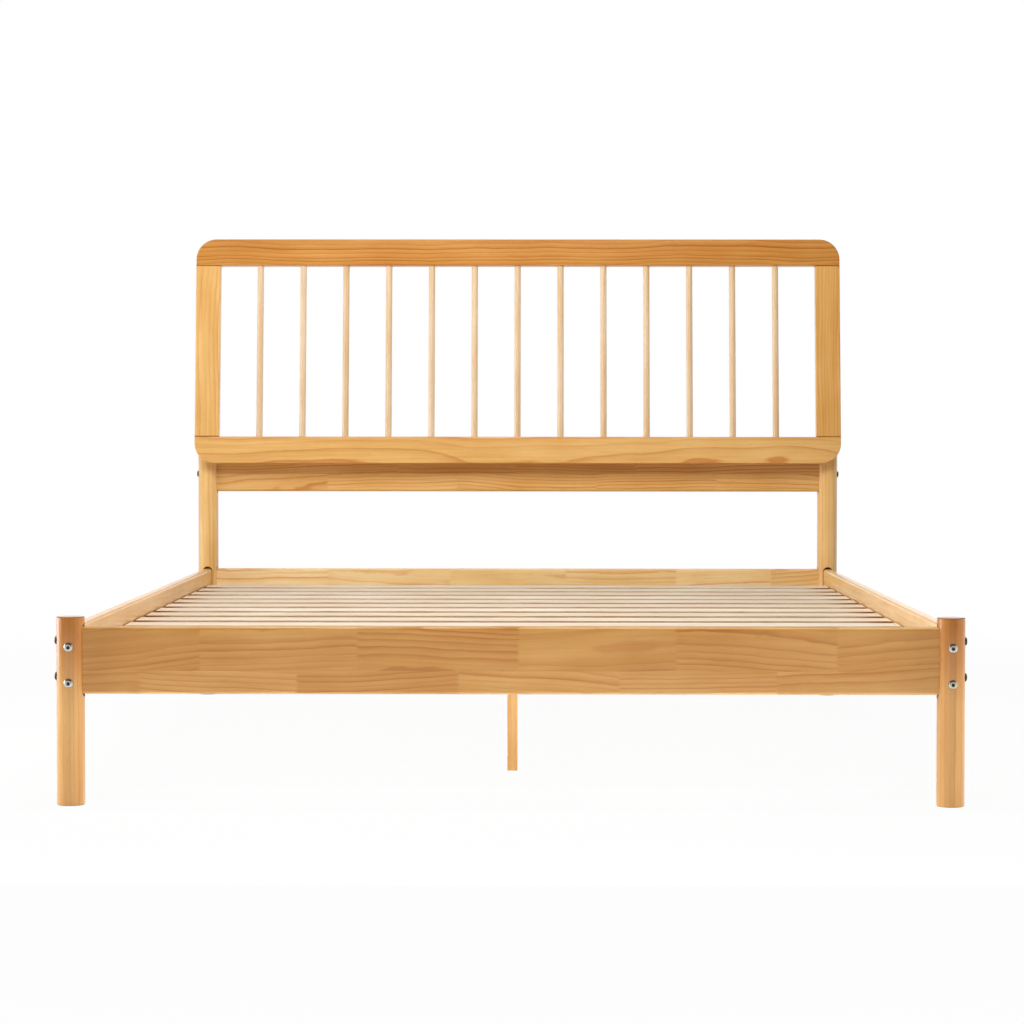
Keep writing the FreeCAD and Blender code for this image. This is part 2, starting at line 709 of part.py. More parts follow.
def make_bracket(end):
    """Steel pocket on a cross rail that one end of the centre beam drops into.

    Its own +Y points away from the rail, and its origin is low on the rail's face.
    """
    body = new_node(f"beam_bracket_{end}")
    plate = add_sketch(body, "XZ", ("0", "bracket_height / 2 - bracket_plate", "0"))
    pad(body, draw_rectangle(plate, "bracket_width", "bracket_height"),
        "bracket_plate", reverse=True)
    outer = "beam_thickness + 2 * beam_play + 2 * bracket_plate"
    block = add_sketch(body, "XZ", ("0", "bracket_height / 2 - bracket_plate", "0"))
    pad(body, draw_rectangle(block, outer, "bracket_height"),
        "bracket_plate + bracket_pocket", reverse=True)
    hollow = add_sketch(body, "XZ", ("0", "bracket_height / 2", "-bracket_plate"))
    draw_rectangle(hollow, "beam_thickness + 2 * beam_play", "bracket_height")
    pocket(body, hollow, "bracket_pocket")
    holes = add_sketch(body, "XZ", ("0", "bracket_height / 2 - bracket_plate", "0"))
    draw_circles(holes, "screw_bore", BRACKET_SCREWS)
    pocket(body, holes, "2 * bracket_plate")
    place(body, "0", f"{end}_y + {INWARD[end]} * rail_thickness / 2", "beam_bottom",
          angle="0" if end == "foot" else "180")


# ---- fasteners ------------------------------------------------------------------------

def bolt(label, length):
    """Flanged bolt: its seat is at its own origin and its head is towards +Z."""
    body = new_body(label)
    pad(body, draw_circles(add_sketch(body, "XY"), "bolt_head_diameter"), "bolt_head_height")
    rim = rounds_on_plane(2, value("bolt_head_height"), value("bolt_head_diameter"))
    dress(body, "Chamfer", rim, "bolt_rim_chamfer")
    shank = draw_circles(add_sketch(body, "XY"), "bolt_diameter")
    pad(body, shank, length, reverse=True)
    top = add_sketch(body, "XY", ("0", "0", "bolt_head_height"))
    pocket(body, draw_hexagon(top, "bolt_socket_width"), "bolt_socket_depth")
    return body


def tube(label, diameter, length, bore):
    """Sleeve along Z from its own origin."""
    body = new_body(label)
    pad(body, draw_circles(add_sketch(body, "XY"), diameter), length)
    top = add_sketch(body, "XY", ("0", "0", length))
    pocket(body, draw_circles(top, bore), length)
    return body


def barrel_nut():
    """Barrel nut along Y, centred on the axis of its thread, which runs along X."""
    body = new_body("barrel_nut")
    end = add_sketch(body, "XZ", ("0", "0", "-nut_length / 2"))
    pad(body, draw_circles(end, "nut_diameter"), "nut_length")
    thread = add_sketch(body, "YZ", ("0", "0", "nut_diameter"))
    pocket(body, draw_circles(thread, "thread_bore"), "2 * nut_diameter")
    return body


def screw(label, length, head_height=None):
    """Wood screw: its head's top is at its own origin, and its tip is towards -Z.

    A countersunk head ends flush, and a pan head stands on the surface.
    """
    body = new_body(label)
    if head_height:
        pad(body, draw_circles(add_sketch(body, "XY"), "screw_head_diameter"), head_height)
        dress(body, "Fillet", on_plane(2, value(head_height)), f"{head_height} / 2")
        top = head_height
    else:
        pad(body, draw_circles(add_sketch(body, "XY"), "screw_head_diameter"),
            "countersink", reverse=True)
        low = rounds_on_plane(2, -value("countersink"), value("screw_head_diameter"))
        dress(body, "Chamfer", low, "countersink - screw_clearance / 2")
        top = "0"
    shank = draw_circles(add_sketch(body, "XY"), "screw_diameter")
    pad(body, shank, length, reverse=True)
    tip = rounds_on_plane(2, -value(length), value("screw_diameter"))
    dress(body, "Chamfer", tip, "screw_tip_chamfer")
    drive = draw_rectangle(add_sketch(body, "XY", ("0", "0", top)),
                           "screw_slot_length", "screw_slot_width")
    pocket(body, drive, "screw_slot_depth")
    return body


def group(label, copies):
    """One node of like fasteners: each copy is a body with its place."""
    links = []
    for body, spot in copies:
        link = doc.addObject("App::Link", label + "_item")
        link.LinkedObject = body
        place(link, *spot[:3], axis=spot[3], angle=spot[4], path="LinkPlacement")
        links.append(link)
    compound = doc.addObject("Part::Compound", label)
    compound.Label = label
    compound.Links = links
    nodes.append(compound)


def make_post_fasteners():
    """Bolts through the posts and barrel nuts in the rails."""
    rail_bolt = bolt("rail_bolt", "rail_bolt_length")
    nut = barrel_nut()
    rail_nuts = []
    for end, inward in INWARD.items():
        bolts = []
        for sign in OUTWARD.values():
            for z in bolt_heights("cross_bolt_rise"):
                head = (f"{sign} * (span_x / 2 + bolt_plane)", f"{end}_y", z,
                        Y_AXIS, str(90 * sign))
                bolts.append((rail_bolt, head))
                nut_x = f"{sign} * (cross_rail_length / 2 - nut_setback)"
                rail_nuts.append((nut, (nut_x, f"{end}_y", z, Z_AXIS, "0")))
            for z in bolt_heights("side_bolt_rise"):
                head = (f"{sign} * span_x / 2", f"{end}_y - {inward} * bolt_plane", z,
                        X_AXIS, str(90 * inward))
                bolts.append((rail_bolt, head))
                nut_y = f"middle_y - {inward} * (side_rail_length / 2 - nut_setback)"
                rail_nuts.append((nut, (f"{sign} * span_x / 2", nut_y, z, Z_AXIS, "90")))
        group(f"{end}_post_bolts", bolts)
    group("rail_barrel_nuts", rail_nuts)
    apron_bolts = []
    apron_nuts = []
    for sign in OUTWARD.values():
        apron_bolts.append((rail_bolt, (f"{sign} * (span_x / 2 + bolt_plane)", "head_y",
                                        "apron_middle", Y_AXIS, str(90 * sign))))
        apron_nuts.append((nut, (f"{sign} * (cross_rail_length / 2 - nut_setback)",
                                 "head_y", "apron_middle", Z_AXIS, "0")))
    group("apron_bolts", apron_bolts)
    group("apron_barrel_nuts", apron_nuts)


def make_panel_fasteners():
    """Bolts through the head posts, and the threaded inserts in the stiles."""
    bolts = []
    inserts = []
    insert = tube("threaded_insert", "insert_diameter", "insert_length", "thread_bore")
    for number, v in enumerate(PANEL_BOLTS, 1):
        seat = panel_bolt_seat(v)
        length = f"{seat} + insert_length - screw_hole_spare"
        panel_bolt = bolt(f"panel_bolt_{number}", length)
        back = in_panel(f"panel_thickness + {seat}", v)
        face = in_panel("panel_thickness - insert_length", v)
        for sign in OUTWARD.values():
            x = f"{sign} * span_x / 2"
            bolts.append((panel_bolt, (x, *back, LEAN_AXIS, "90 + panel_lean")))
            inserts.append((insert, (x, *face, LEAN_AXIS, "90 + panel_lean")))
    group("panel_bolts", bolts)
    group("panel_inserts", inserts)


def make_dowels():
    """Dowels between stiles and rails, and between the apron and the head posts."""
    dowel = pin("dowel", "dowel_diameter", "dowel_length", "dowel_chamfer")
    panel_dowels = []
    for low in ("panel_rail_height", "panel_height - panel_rail_height"):
        for x in PANEL_DOWELS:
            spot = in_panel("panel_thickness / 2", f"{low} - dowel_length / 2")
            panel_dowels.append((dowel, (x, *spot, LEAN_AXIS, "panel_lean")))
    group("headboard_dowels", panel_dowels)
    group("apron_dowels", [
        (dowel, (f"{sign} * (cross_rail_length / 2 + dowel_depth_in_post)", "head_y",
                 f"apron_middle + {z}", Y_AXIS, str(-90 * sign)))
        for sign in OUTWARD.values() for z in APRON_DOWELS])


def make_screws():
    """Screws of the slats, the ledgers and the centre beam's brackets."""
    slat_screw = screw("slat_screw", "slat_screw_length")
    group("slat_screws", [
        (slat_screw, (f"{sign} * ledger_x", f"middle_y + ({y})", "slat_top", Z_AXIS, "0"))
        for sign in OUTWARD.values() for y in SLAT_SPOTS])
    ledger_screw = screw("ledger_screw", "ledger_screw_length")
    group("ledger_screws", [
        (ledger_screw, (f"{sign} * (ledger_x - ledger_width / 2)", f"middle_y + ({y})",
                        "ledger_screw_z", Y_AXIS, str(-90 * sign)))
        for sign in OUTWARD.values() for y in LEDGER_SCREW_SPOTS])
    bracket_screw = screw("bracket_screw", "bracket_screw_length + bracket_plate",
                          "bracket_screw_head_height")
    group("bracket_screws", [
        (bracket_screw, (x, f"{end}_y + {inward} * (rail_thickness / 2 + bracket_plate)",
                         f"bracket_middle + {z}", X_AXIS, str(-90 * inward)))
        for end, inward in INWARD.items() for x, z in BRACKET_SCREWS])


def make_hanger_bolt():
    """Stud that holds the centre leg to the beam."""
    stud = pin("hanger_bolt", "hanger_bolt_diameter", "hanger_bolt_length",
               "hanger_bolt_chamfer")
    group("leg_hanger_bolt", [
        (stud, ("0", "middle_y + leg_y", "beam_bottom - hanger_bolt_length / 2", Z_AXIS, "0"))])


# ---- the bed --------------------------------------------------------------------------

for end_name in INWARD:
    make_cross_rail(end_name)
    make_bracket(end_name)
    for side_name in OUTWARD:
        make_post(end_name, side_name)
for side_name in OUTWARD:
    make_side_rail(side_name)
    make_ledger(side_name)
    make_stile(side_name)
make_apron()
make_panel_rail("bottom")
make_panel_rail("top")
make_spindles()
make_slats()
make_beam()
make_leg()
make_post_fasteners()
make_panel_fasteners()
make_dowels()
make_screws()
make_hanger_bolt()

doc.recompute()
for thing in doc.Objects:
    if "Invalid" in thing.State or "Error" in thing.State:
        raise RuntimeError(f"{thing.Label} failed: {thing.State}")
for node in nodes:
    if node.Shape.isNull() or not node.Shape.isValid():
        raise RuntimeError(f"{node.Label} has no valid shape")

os.makedirs("parts", exist_ok=True)
for node in nodes:
    node.Shape.exportStep(os.path.join("parts", node.Label + ".step"))
print(len(nodes), "nodes written")
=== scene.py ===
"""Spindle bed in lacquered pine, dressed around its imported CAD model.

Metres, in the bed's own frame: +X is to the right seen from the foot, +Y runs from foot to
head, +Z is up, and the origin is on the floor.  Posts, boards, spindles and bolts are new
surfaces worked out from the frame's boxes.  Small hidden hardware stays as the CAD has it,
with a finish of its own.
"""
import math

import bpy
import numpy as np
from mathutils import Matrix, Vector


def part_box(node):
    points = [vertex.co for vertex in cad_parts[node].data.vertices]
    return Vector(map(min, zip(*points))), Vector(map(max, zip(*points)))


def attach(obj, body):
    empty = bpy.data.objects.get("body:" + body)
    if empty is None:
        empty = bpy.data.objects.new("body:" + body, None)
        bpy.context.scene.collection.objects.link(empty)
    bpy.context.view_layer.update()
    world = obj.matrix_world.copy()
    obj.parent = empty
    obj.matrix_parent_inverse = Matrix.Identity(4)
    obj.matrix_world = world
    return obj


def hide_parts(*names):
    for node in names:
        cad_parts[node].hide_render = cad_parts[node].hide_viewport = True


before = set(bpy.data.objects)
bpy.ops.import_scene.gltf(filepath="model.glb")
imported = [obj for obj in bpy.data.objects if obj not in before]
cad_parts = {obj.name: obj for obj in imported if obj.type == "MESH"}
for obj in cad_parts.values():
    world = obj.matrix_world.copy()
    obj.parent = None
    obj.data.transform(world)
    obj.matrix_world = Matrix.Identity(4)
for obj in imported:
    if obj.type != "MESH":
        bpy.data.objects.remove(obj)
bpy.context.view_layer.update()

bl_info = {
    "name": "Spindle bed",
    "version": (1, 0, 0),
    "blender": (4, 5, 0),
    "location": "View3D > Sidebar > Bed",
    "description": "Makes a pine spindle bed with slats, and a studio stage around it",
    "category": "Add Mesh",
}

SIDES = {"left": -1, "right": 1}
ENDS = {"foot": -1, "head": 1}
SPINDLES = sorted(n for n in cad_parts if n.startswith("spindle_"))
SLATS = sorted(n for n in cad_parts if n.startswith("slat_") and n[5:].isdigit())
PLATED = ("beam_bracket_foot", "beam_bracket_head", "rail_barrel_nuts", "apron_barrel_nuts",
          "panel_inserts", "slat_screws", "ledger_screws", "bracket_screws",
          "leg_hanger_bolt")
DOWELS = ("apron_dowels", "headboard_dowels")


# ---- sizes, colours and light that a user may change ------------------------------------

def millimetres(name, default, description):
    """Length property whose default is given in millimetres."""
    return bpy.props.FloatProperty(
        name=name, description=description, default=default / 1000, min=0,
        unit="LENGTH", precision=4)


def from_screen(red, green, blue):
    """Linear colour of a screen colour given from 0 to 255."""
    screen = np.array((red, green, blue)) / 255
    linear = np.where(screen <= 0.04045, screen / 12.92, ((screen + 0.055) / 1.055) ** 2.4)
    return tuple(float(c) for c in linear)


def colour(name, screen, description):
    """Colour property whose default is given as a screen colour."""
    return bpy.props.FloatVectorProperty(
        name=name, description=description, default=from_screen(*screen), size=3,
        min=0, max=1, subtype="COLOR")


def strength(name, default, description):
    return bpy.props.FloatProperty(name=name, description=description, default=default, min=0)


class BedShape(bpy.types.PropertyGroup):
    """Sizes that the frame's boxes don't give."""

    post_round: millimetres("Post end round", 2, "Radius round both ends of a post")
    rail_round: millimetres("Rail edge round", 6, "Radius of the long edges of the rails")
    slat_round: millimetres("Slat edge round", 1.2, "Radius of the long edges of the slats")
    ledger_round: millimetres("Ledger edge round", 2, "Radius of the long edges of the ledgers")
    beam_round: millimetres("Beam edge round", 3, "Radius of the long edges of the beam")
    leg_round: millimetres("Leg edge round", 2, "Radius of the long edges of the leg")
    end_ease: millimetres("Sawn end ease", 0.8, "Radius of the sanded edges of a sawn end")
    seat_depth: millimetres("Seat depth", 5, "Depth of the seats that the rail ends stand in")
    seat_side_gap: millimetres("Seat side gap", 1, "Gap beside a rail in its seat")
    seat_end_gap: millimetres("Seat end gap", 5.5, "Gap above and below a rail in its seat")
    lean: bpy.props.FloatProperty(
        name="Headboard lean", description="Angle at which the headboard leans back",
        default=math.radians(6.45), subtype="ANGLE")
    panel_thickness: millimetres("Headboard thickness", 25, "Thickness of the headboard")
    panel_round: millimetres("Headboard edge round", 3, "Radius of the headboard's edges")
    panel_rail: millimetres("Headboard rail height", 67, "Height of a headboard rail")
    panel_corner: millimetres("Headboard corner", 51, "Radius of the outer corners")
    joint_groove: millimetres("Joint groove", 0.8, "Bevel of the stiles' ends at the joints")
    spindle_bevel: millimetres("Spindle end bevel", 1, "Bevel of the spindles' ends")
    bolt_head: millimetres("Bolt head diameter", 16.4, "Diameter of a bolt's flange")
    bolt_height: millimetres("Bolt head height", 4.5, "Height of a bolt's head")
    bolt_bevel: millimetres("Bolt head bevel", 2.6, "Bevel round the face of a bolt's head")
    bolt_shank: millimetres("Bolt shank diameter", 6, "Diameter of a bolt's shank")
    bolt_socket: millimetres("Bolt socket width", 5, "Width of the socket across its flats")
    socket_depth: millimetres("Bolt socket depth", 2.6, "Depth of the socket")
    bolt_recess: millimetres("Bolt recess depth", 1.6, "Depth of the flat under a bolt's head")
    recess_gap: millimetres("Bolt recess gap", 0.3, "Gap round a bolt's head in its recess")
    bolt_pitch: millimetres("Bolt pitch", 64, "Distance between the bolts of a pair")
    rail_bolt: millimetres("Rail bolt length", 90, "Length under the head of a rail's bolt")
    panel_bolt_first: millimetres("Headboard bolt height", 110,
                                  "Height of the lower bolt, along the headboard")
    panel_bolt_pitch: millimetres("Headboard bolt pitch", 120,
                                  "Distance between the headboard's bolts")
    insert_length: millimetres("Insert length", 13, "Length of a threaded insert")
    nut_bore: millimetres("Nut bore diameter", 10.3, "Diameter of a barrel nut's bore")
    nut_depth: millimetres("Nut bore depth", 18, "Depth of a barrel nut's bore")
    nut_setback: millimetres("Nut setback", 40, "Distance of a nut from its rail's end")
    screw_hole: millimetres("Screw hole diameter", 4.2, "Diameter of a screw's hole")
    screw_head: millimetres("Screw head diameter", 8.2, "Diameter of a screw's countersink")


class BedFinish(bpy.types.PropertyGroup):
    """Colours of the woods, each as early wood and late wood, and of the metal."""

    lacquer_early: colour("Lacquered early wood", (238, 186, 111),
                          "Pale part of a growth ring under lacquer")
    lacquer_late: colour("Lacquered late wood", (204, 122, 50),
                         "Dark part of a growth ring under lacquer")
    # The spindles' colours are paler than the lacquered wood's: painted light, for the light
    # that wraps round the thin spindles.
    spindle_early: colour("Spindle early wood", (240, 209, 168),
                          "Pale part of a ring under the spindles' painted light")
    spindle_late: colour("Spindle late wood", (212, 164, 112),
                         "Dark part of a ring under the spindles' painted light")
    raw_early: colour("Raw early wood", (240, 225, 204), "Pale part of a ring, unfinished")
    raw_late: colour("Raw late wood", (219, 184, 146), "Dark part of a ring, unfinished")
    beech: colour("Beech", (222, 189, 148), "Plain beech of the dowels")
    beech_fleck: colour("Beech fleck", (186, 146, 104), "Short dark flecks in beech")
    zinc: colour("Zinc plate", (212, 212, 208), "Bright zinc plate")
    zinc_tint: colour("Zinc tint", (214, 196, 120), "Yellowish tone that zinc plate has")
    # painted shade: the dark zinc of the sockets and of the side bolts' heads
    zinc_shade: colour("Dull zinc", (92, 78, 62), "Painted shade on the zinc of the sockets and side bolts")
    # painted shade: the seats' dark colour stands in for the shade inside them
    seat: colour("Bare seat", (122, 70, 36), "Painted shade inside the seats")


class StudioLight(bpy.types.PropertyGroup):
    """Levels of the surroundings and the lamps, and the floor's colour."""

    world: strength("World", 0.42, "Share of the white surroundings that lights the bed")
    front: strength("Front", 0.15, "Strength of the surroundings behind the camera")
    ceiling: strength("Ceiling", 0.1, "Strength of the ceiling that the bed mirrors")
    overhead: strength("Overhead lamp", 44, "Power of the lamp over the bed, in watts")
    left: strength("Left lamp", 26, "Power of the lamp at the bed's left, in watts")
    rim: strength("Rim lamps", 3.2, "Power of the lamps beside the foot posts, in watts")
    low: strength("Low lamp", 4.8, "Power of the strip before the bed, in watts")
    under: strength("Under lamp", 0.55, "Power of the strip under the foot rail, in watts")
    floor: colour("Floor", (246, 246, 246), "Colour of the floor")


# ---- surfaces ---------------------------------------------------------------------------

# How far a cutter starts outside the wood that it cuts.
CLEARANCE = 0.01
# Edges sharper than this show as edges.
SHARP = math.radians(35)
# Flat strip beside a round, which keeps the round's shading off the flat.
FLAT_STRIP = 0.0006


def quarter_round(radius, steps):
    """How far a quarter round lies inside a side, and how far from an end.

    At an angle b that falls from 90 to 0 degrees they are radius * (1 - cos b) and
    radius * (1 - sin b).
    """
    b = np.linspace(np.pi / 2, 0, steps)
    return radius * (1 - np.cos(b)), radius * (1 - np.sin(b))


def rounded_outline(width, height, radius, inset=0.0, steps=6):
    """Rounded rectangle about the origin, anticlockwise, moved inwards by inset.

    Each corner is its centre plus (radius - inset) * (cos a, sin a), with one more point a
    flat strip before and after the arc.
    """
    quarter = np.arange(4)[:, None] * np.pi / 2
    turn = quarter + np.linspace(0, np.pi / 2, steps + 1)
    bend = np.stack([np.cos(turn), np.sin(turn)], -1)
    centre = np.array([[1, 1], [-1, 1], [-1, -1], [1, -1]]) * (
        np.array([width, height]) / 2 - radius)
    arc = centre[:, None] + (radius - inset) * bend
    onward = np.stack([-bend[..., 1], bend[..., 0]], -1) * FLAT_STRIP
    corner = np.concatenate([arc[:, :1] - onward[:, :1], arc, arc[:, -1:] + onward[:, -1:]], 1)
    return corner.reshape(-1, 2)


def board(length, width, height, radius, ease):
    """Board along X: a rounded rectangle carried along its length.

    At each end the outline shrinks along a quarter round whose radius is ease.
    """
    inset, inward = quarter_round(ease, 4)
    inset = np.append(inset, 0)
    along = length / 2 - np.append(inward, 3 * ease)
    along = np.concatenate([-along, along[::-1]])
    inset = np.concatenate([inset, inset[::-1]])
    rings = [rounded_outline(width, height, radius, i) for i in inset]
    return np.concatenate(
        [np.broadcast_to(along[:, None, None], (len(along), len(rings[0]), 1)),
         np.stack(rings)], -1)


def prism(outline, low, high):
    """Prism along X over a flat outline in Y and Z."""
    ends = np.broadcast_to(np.array([low, high])[:, None, None], (2, len(outline), 1))
    return np.concatenate([ends, np.broadcast_to(outline, (2, *outline.shape))], -1)


def slot_outline(width, height, steps=24):
    """Upright slot: two half circles, moved apart by the sine's sign."""
    a = np.linspace(0, np.pi, steps)
    a = np.concatenate([a, a + np.pi])
    rise = np.repeat([1, -1], steps) * (height - width) / 2
    return np.stack([np.cos(a) * width / 2, np.sin(a) * width / 2 + rise], -1)


def turned(profile, count, flats=None):
    """Surface of revolution about Z of a profile of (radius, height) rows.

    flats blends each row from a circle, 0, to a hexagon, 1, whose radius at angle a is
    cos 30 / cos(a folded into +-30 degrees) times the row's radius.
    """
    profile = np.array(profile, float)
    a = np.arange(count) * 2 * np.pi / count
    fold = (a + np.pi / 6) % (np.pi / 3) - np.pi / 6
    hexagon = np.cos(np.pi / 6) / np.cos(fold)
    blend = np.zeros(len(profile)) if flats is None else np.array(flats, float)
    radius = profile[:, :1] * (1 + blend[:, None] * (hexagon - 1))
    height = np.broadcast_to(profile[:, 1:], radius.shape)
    return np.stack([radius * np.cos(a), radius * np.sin(a), height], -1)


def placed(points, matrix):
    """Points moved by a 4 x 4 matrix."""
    matrix = np.array(matrix)
    return points @ matrix[:3, :3].T + matrix[:3, 3]


def skin(name, shells):
    """Mesh of closed shells, each an array of rings of points.

    Four-sided faces join each ring to the next, and the first and last rings are closed by
    one flat face each.
    """
    points = []
    faces = []
    start = 0
    for rings in shells:
        index = start + np.arange(rings.shape[0] * rings.shape[1]).reshape(rings.shape[:2])
        ahead = np.roll(index, -1, axis=1)
        sides = np.stack([index[:-1], ahead[:-1], ahead[1:], index[1:]], -1)
        faces += sides.reshape(-1, 4).tolist()
        faces += [index[0, ::-1].tolist(), index[-1].tolist()]
        points.append(rings.reshape(-1, 3))
        start += index.size
    mesh = bpy.data.meshes.new(name)
    mesh.from_pydata(np.concatenate(points), [], faces)
    return mesh


def cut_away(mesh, cutters):
    """Mesh less the space of the cutters, which are shells that don't touch each other."""
    scene = bpy.context.scene
    body = bpy.data.objects.new("body", mesh)
    tool = bpy.data.objects.new("tool", skin("tool", cutters))
    for thing in (body, tool):
        scene.collection.objects.link(thing)
    difference = body.modifiers.new("cut", "BOOLEAN")
    difference.object = tool
    difference.solver = "EXACT"
    bpy.context.view_layer.update()
    solid = body.evaluated_get(bpy.context.evaluated_depsgraph_get())
    result = bpy.data.meshes.new_from_object(solid)
    if len(result.polygons) <= len(mesh.polygons):
        raise RuntimeError(f"the cuts in {mesh.name} took nothing away")
    result.name = mesh.name
    tool_mesh = tool.data
    for thing in (body, tool):
        bpy.data.objects.remove(thing)
    bpy.data.meshes.remove(tool_mesh)
    return result


def add_piece(node, work, mesh, material):
    """Object that stands for one CAD node, smooth apart from its sharp edges.

    It is named after the node and the work that shapes it.
    """
    mesh.materials.clear()
    mesh.materials.append(material)
    mesh.shade_smooth()
    mesh.set_sharp_from_angle(angle=SHARP)
    piece = bpy.data.objects.new(f"{node}_{work}", mesh)
    bpy.context.scene.collection.objects.link(piece)
    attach(piece, "root")
    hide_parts(node)


def face_rows(mesh, what):
    """One row for each face: its middle for "center", or its direction for "normal"."""
    values = np.empty(3 * len(mesh.polygons))
    mesh.polygons.foreach_get(what, values)
    return values.reshape(-1, 3)


def paint_faces(mesh, chosen, material):
    """Give the chosen faces a second material."""
    mesh.materials.append(material)
    mesh.polygons.foreach_set("material_index", chosen.astype(np.int32))


# ---- places -----------------------------------------------------------------------------

def middle(node):
    low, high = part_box(node)
    return (low + high) / 2


def extent(node):
    low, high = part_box(node)
    return high - low


# Ways that a board's own X, which is its grain, may run in the bed.
ACROSS = Matrix.Identity(4)
ALONG = Matrix.Rotation(math.pi / 2, 4, "Z")
UPRIGHT = Matrix.Rotation(-math.pi / 2, 4, "Y")


class Panel:
    """The leaning headboard's own frame: X across, Y to its back and Z up along it.

    Its origin is at its front lower edge, found from the rails' boxes: a rounded corner
    reaches as far as its centre does, plus its radius.
    """

    def __init__(self, shape):
        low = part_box("headboard_bottom_rail")[0]
        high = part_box("headboard_top_rail")[1]
        sine, cosine = math.sin(shape.lean), math.cos(shape.lean)
        r, t = shape.panel_round, shape.panel_thickness
        y = low.y + r * (1 - cosine - sine)
        z = low.z + r * (1 - cosine) + (t - r) * sine
        self.height = (high.z - z - r + r * sine) / cosine + r
        self.width = extent("headboard_top_rail").x
        self.turn = Matrix.Rotation(-shape.lean, 4, "X")
        self.matrix = Matrix.Translation((0, y, z)) @ self.turn


# ---- finishes ---------------------------------------------------------------------------

class Nodes:
    """Short words for adding nodes to one tree.  An input is a socket or a plain value."""

    def __init__(self, tree):
        self.tree = tree

    def plug(self, value, socket):
        if isinstance(value, bpy.types.NodeSocket):
            self.tree.links.new(value, socket)
        else:
            socket.default_value = value

    def give(self, node, inputs):
        for name, value in inputs.items():
            self.plug(value, node.inputs[name])

    def add(self, kind, inputs=None, **settings):
        node = self.tree.nodes.new("ShaderNode" + kind)
        for name, value in settings.items():
            setattr(node, name, value)
        self.give(node, inputs or {})
        return node

    def operate(self, kind, operation, values):
        node = self.add(kind, operation=operation)
        for value, socket in zip(values, node.inputs):
            self.plug(value, socket)
        return node.outputs

    def math(self, operation, *values):
        return self.operate("Math", operation, values)[0]

    def vector(self, operation, *values):
        outputs = self.operate("VectorMath", operation, values)
        return outputs["Value" if operation == "LENGTH" else "Vector"]

    def scaled(self, vector, share):
        return self.add("VectorMath", {"Vector": vector, "Scale": share},
                        operation="SCALE").outputs[0]

    def split(self, vector):
        return self.add("SeparateXYZ", {"Vector": vector}).outputs

    def join(self, x, y, z):
        return self.add("CombineXYZ", {"X": x, "Y": y, "Z": z}).outputs[0]

    def span(self, value, given, wanted, soft=False):
        """Value carried from one range to another and kept in it, with soft ends or not."""
        return self.add("MapRange", {
            "Value": value, "From Min": given[0], "From Max": given[1],
            "To Min": wanted[0], "To Max": wanted[1],
        }, interpolation_type="SMOOTHSTEP" if soft else "LINEAR").outputs[0]

    def noise(self, vector, stretch, detail=2.0, output="Fac"):
        """Noise with its grains 1 / stretch long on each axis."""
        scaled = self.vector("MULTIPLY", vector, stretch)
        node = self.add("TexNoise", {"Vector": scaled, "Scale": 1.0, "Detail": detail})
        return node.outputs[output]

    def scatter(self, value):
        """Three random numbers that belong to a value."""
        node = self.add("TexWhiteNoise", {"W": value}, noise_dimensions="1D")
        return node.outputs["Color"]

    def centred(self, chances):
        """Numbers from 0 to 1 moved down, so that they lie about 0."""
        return self.vector("SUBTRACT", chances, (0.5, 0.5, 0.5))

    def ramp(self, factor, stops, interpolation="LINEAR"):
        """Colour and alpha of a ramp over (position, value) stops.

        A value is a grey, or a colour with its alpha.
        """
        node = self.add("ValToRGB", {"Fac": factor})
        line = node.color_ramp
        line.interpolation = interpolation
        for i, (position, value) in enumerate(stops):
            stop = line.elements[i] if i < 2 else line.elements.new(position)
            stop.position = position
            stop.color = value if isinstance(value, tuple) else (value, value, value, 1)
        return node.outputs

    def mix(self, factor, a, b, blend="MIX"):
        node = self.add("Mix", data_type="RGBA", blend_type=blend)
        self.plug(factor, node.inputs[0])
        for value, socket in ((a, node.inputs[6]), (b, node.inputs[7])):
            self.plug((*value, 1) if isinstance(value, tuple) else value, socket)
        return node.outputs[2]

    def bump(self, height, strength, distance):
        return self.add("Bump", {"Height": height, "Strength": strength,
                                 "Distance": distance}).outputs[0]


GROWTH_RINGS = "pine growth rings"
# What a block's seed does: it moves the pith, turns the grain and shifts the noise along it.
SEED_SCATTER = 91.7
PITH_SPREAD = (0, 0.04, 0.20)
GRAIN_TURN = -0.02
GRAIN_SHIFT = -31.0
# How far small ripples bend the rings.
RIPPLE_DEPTH = 0.003


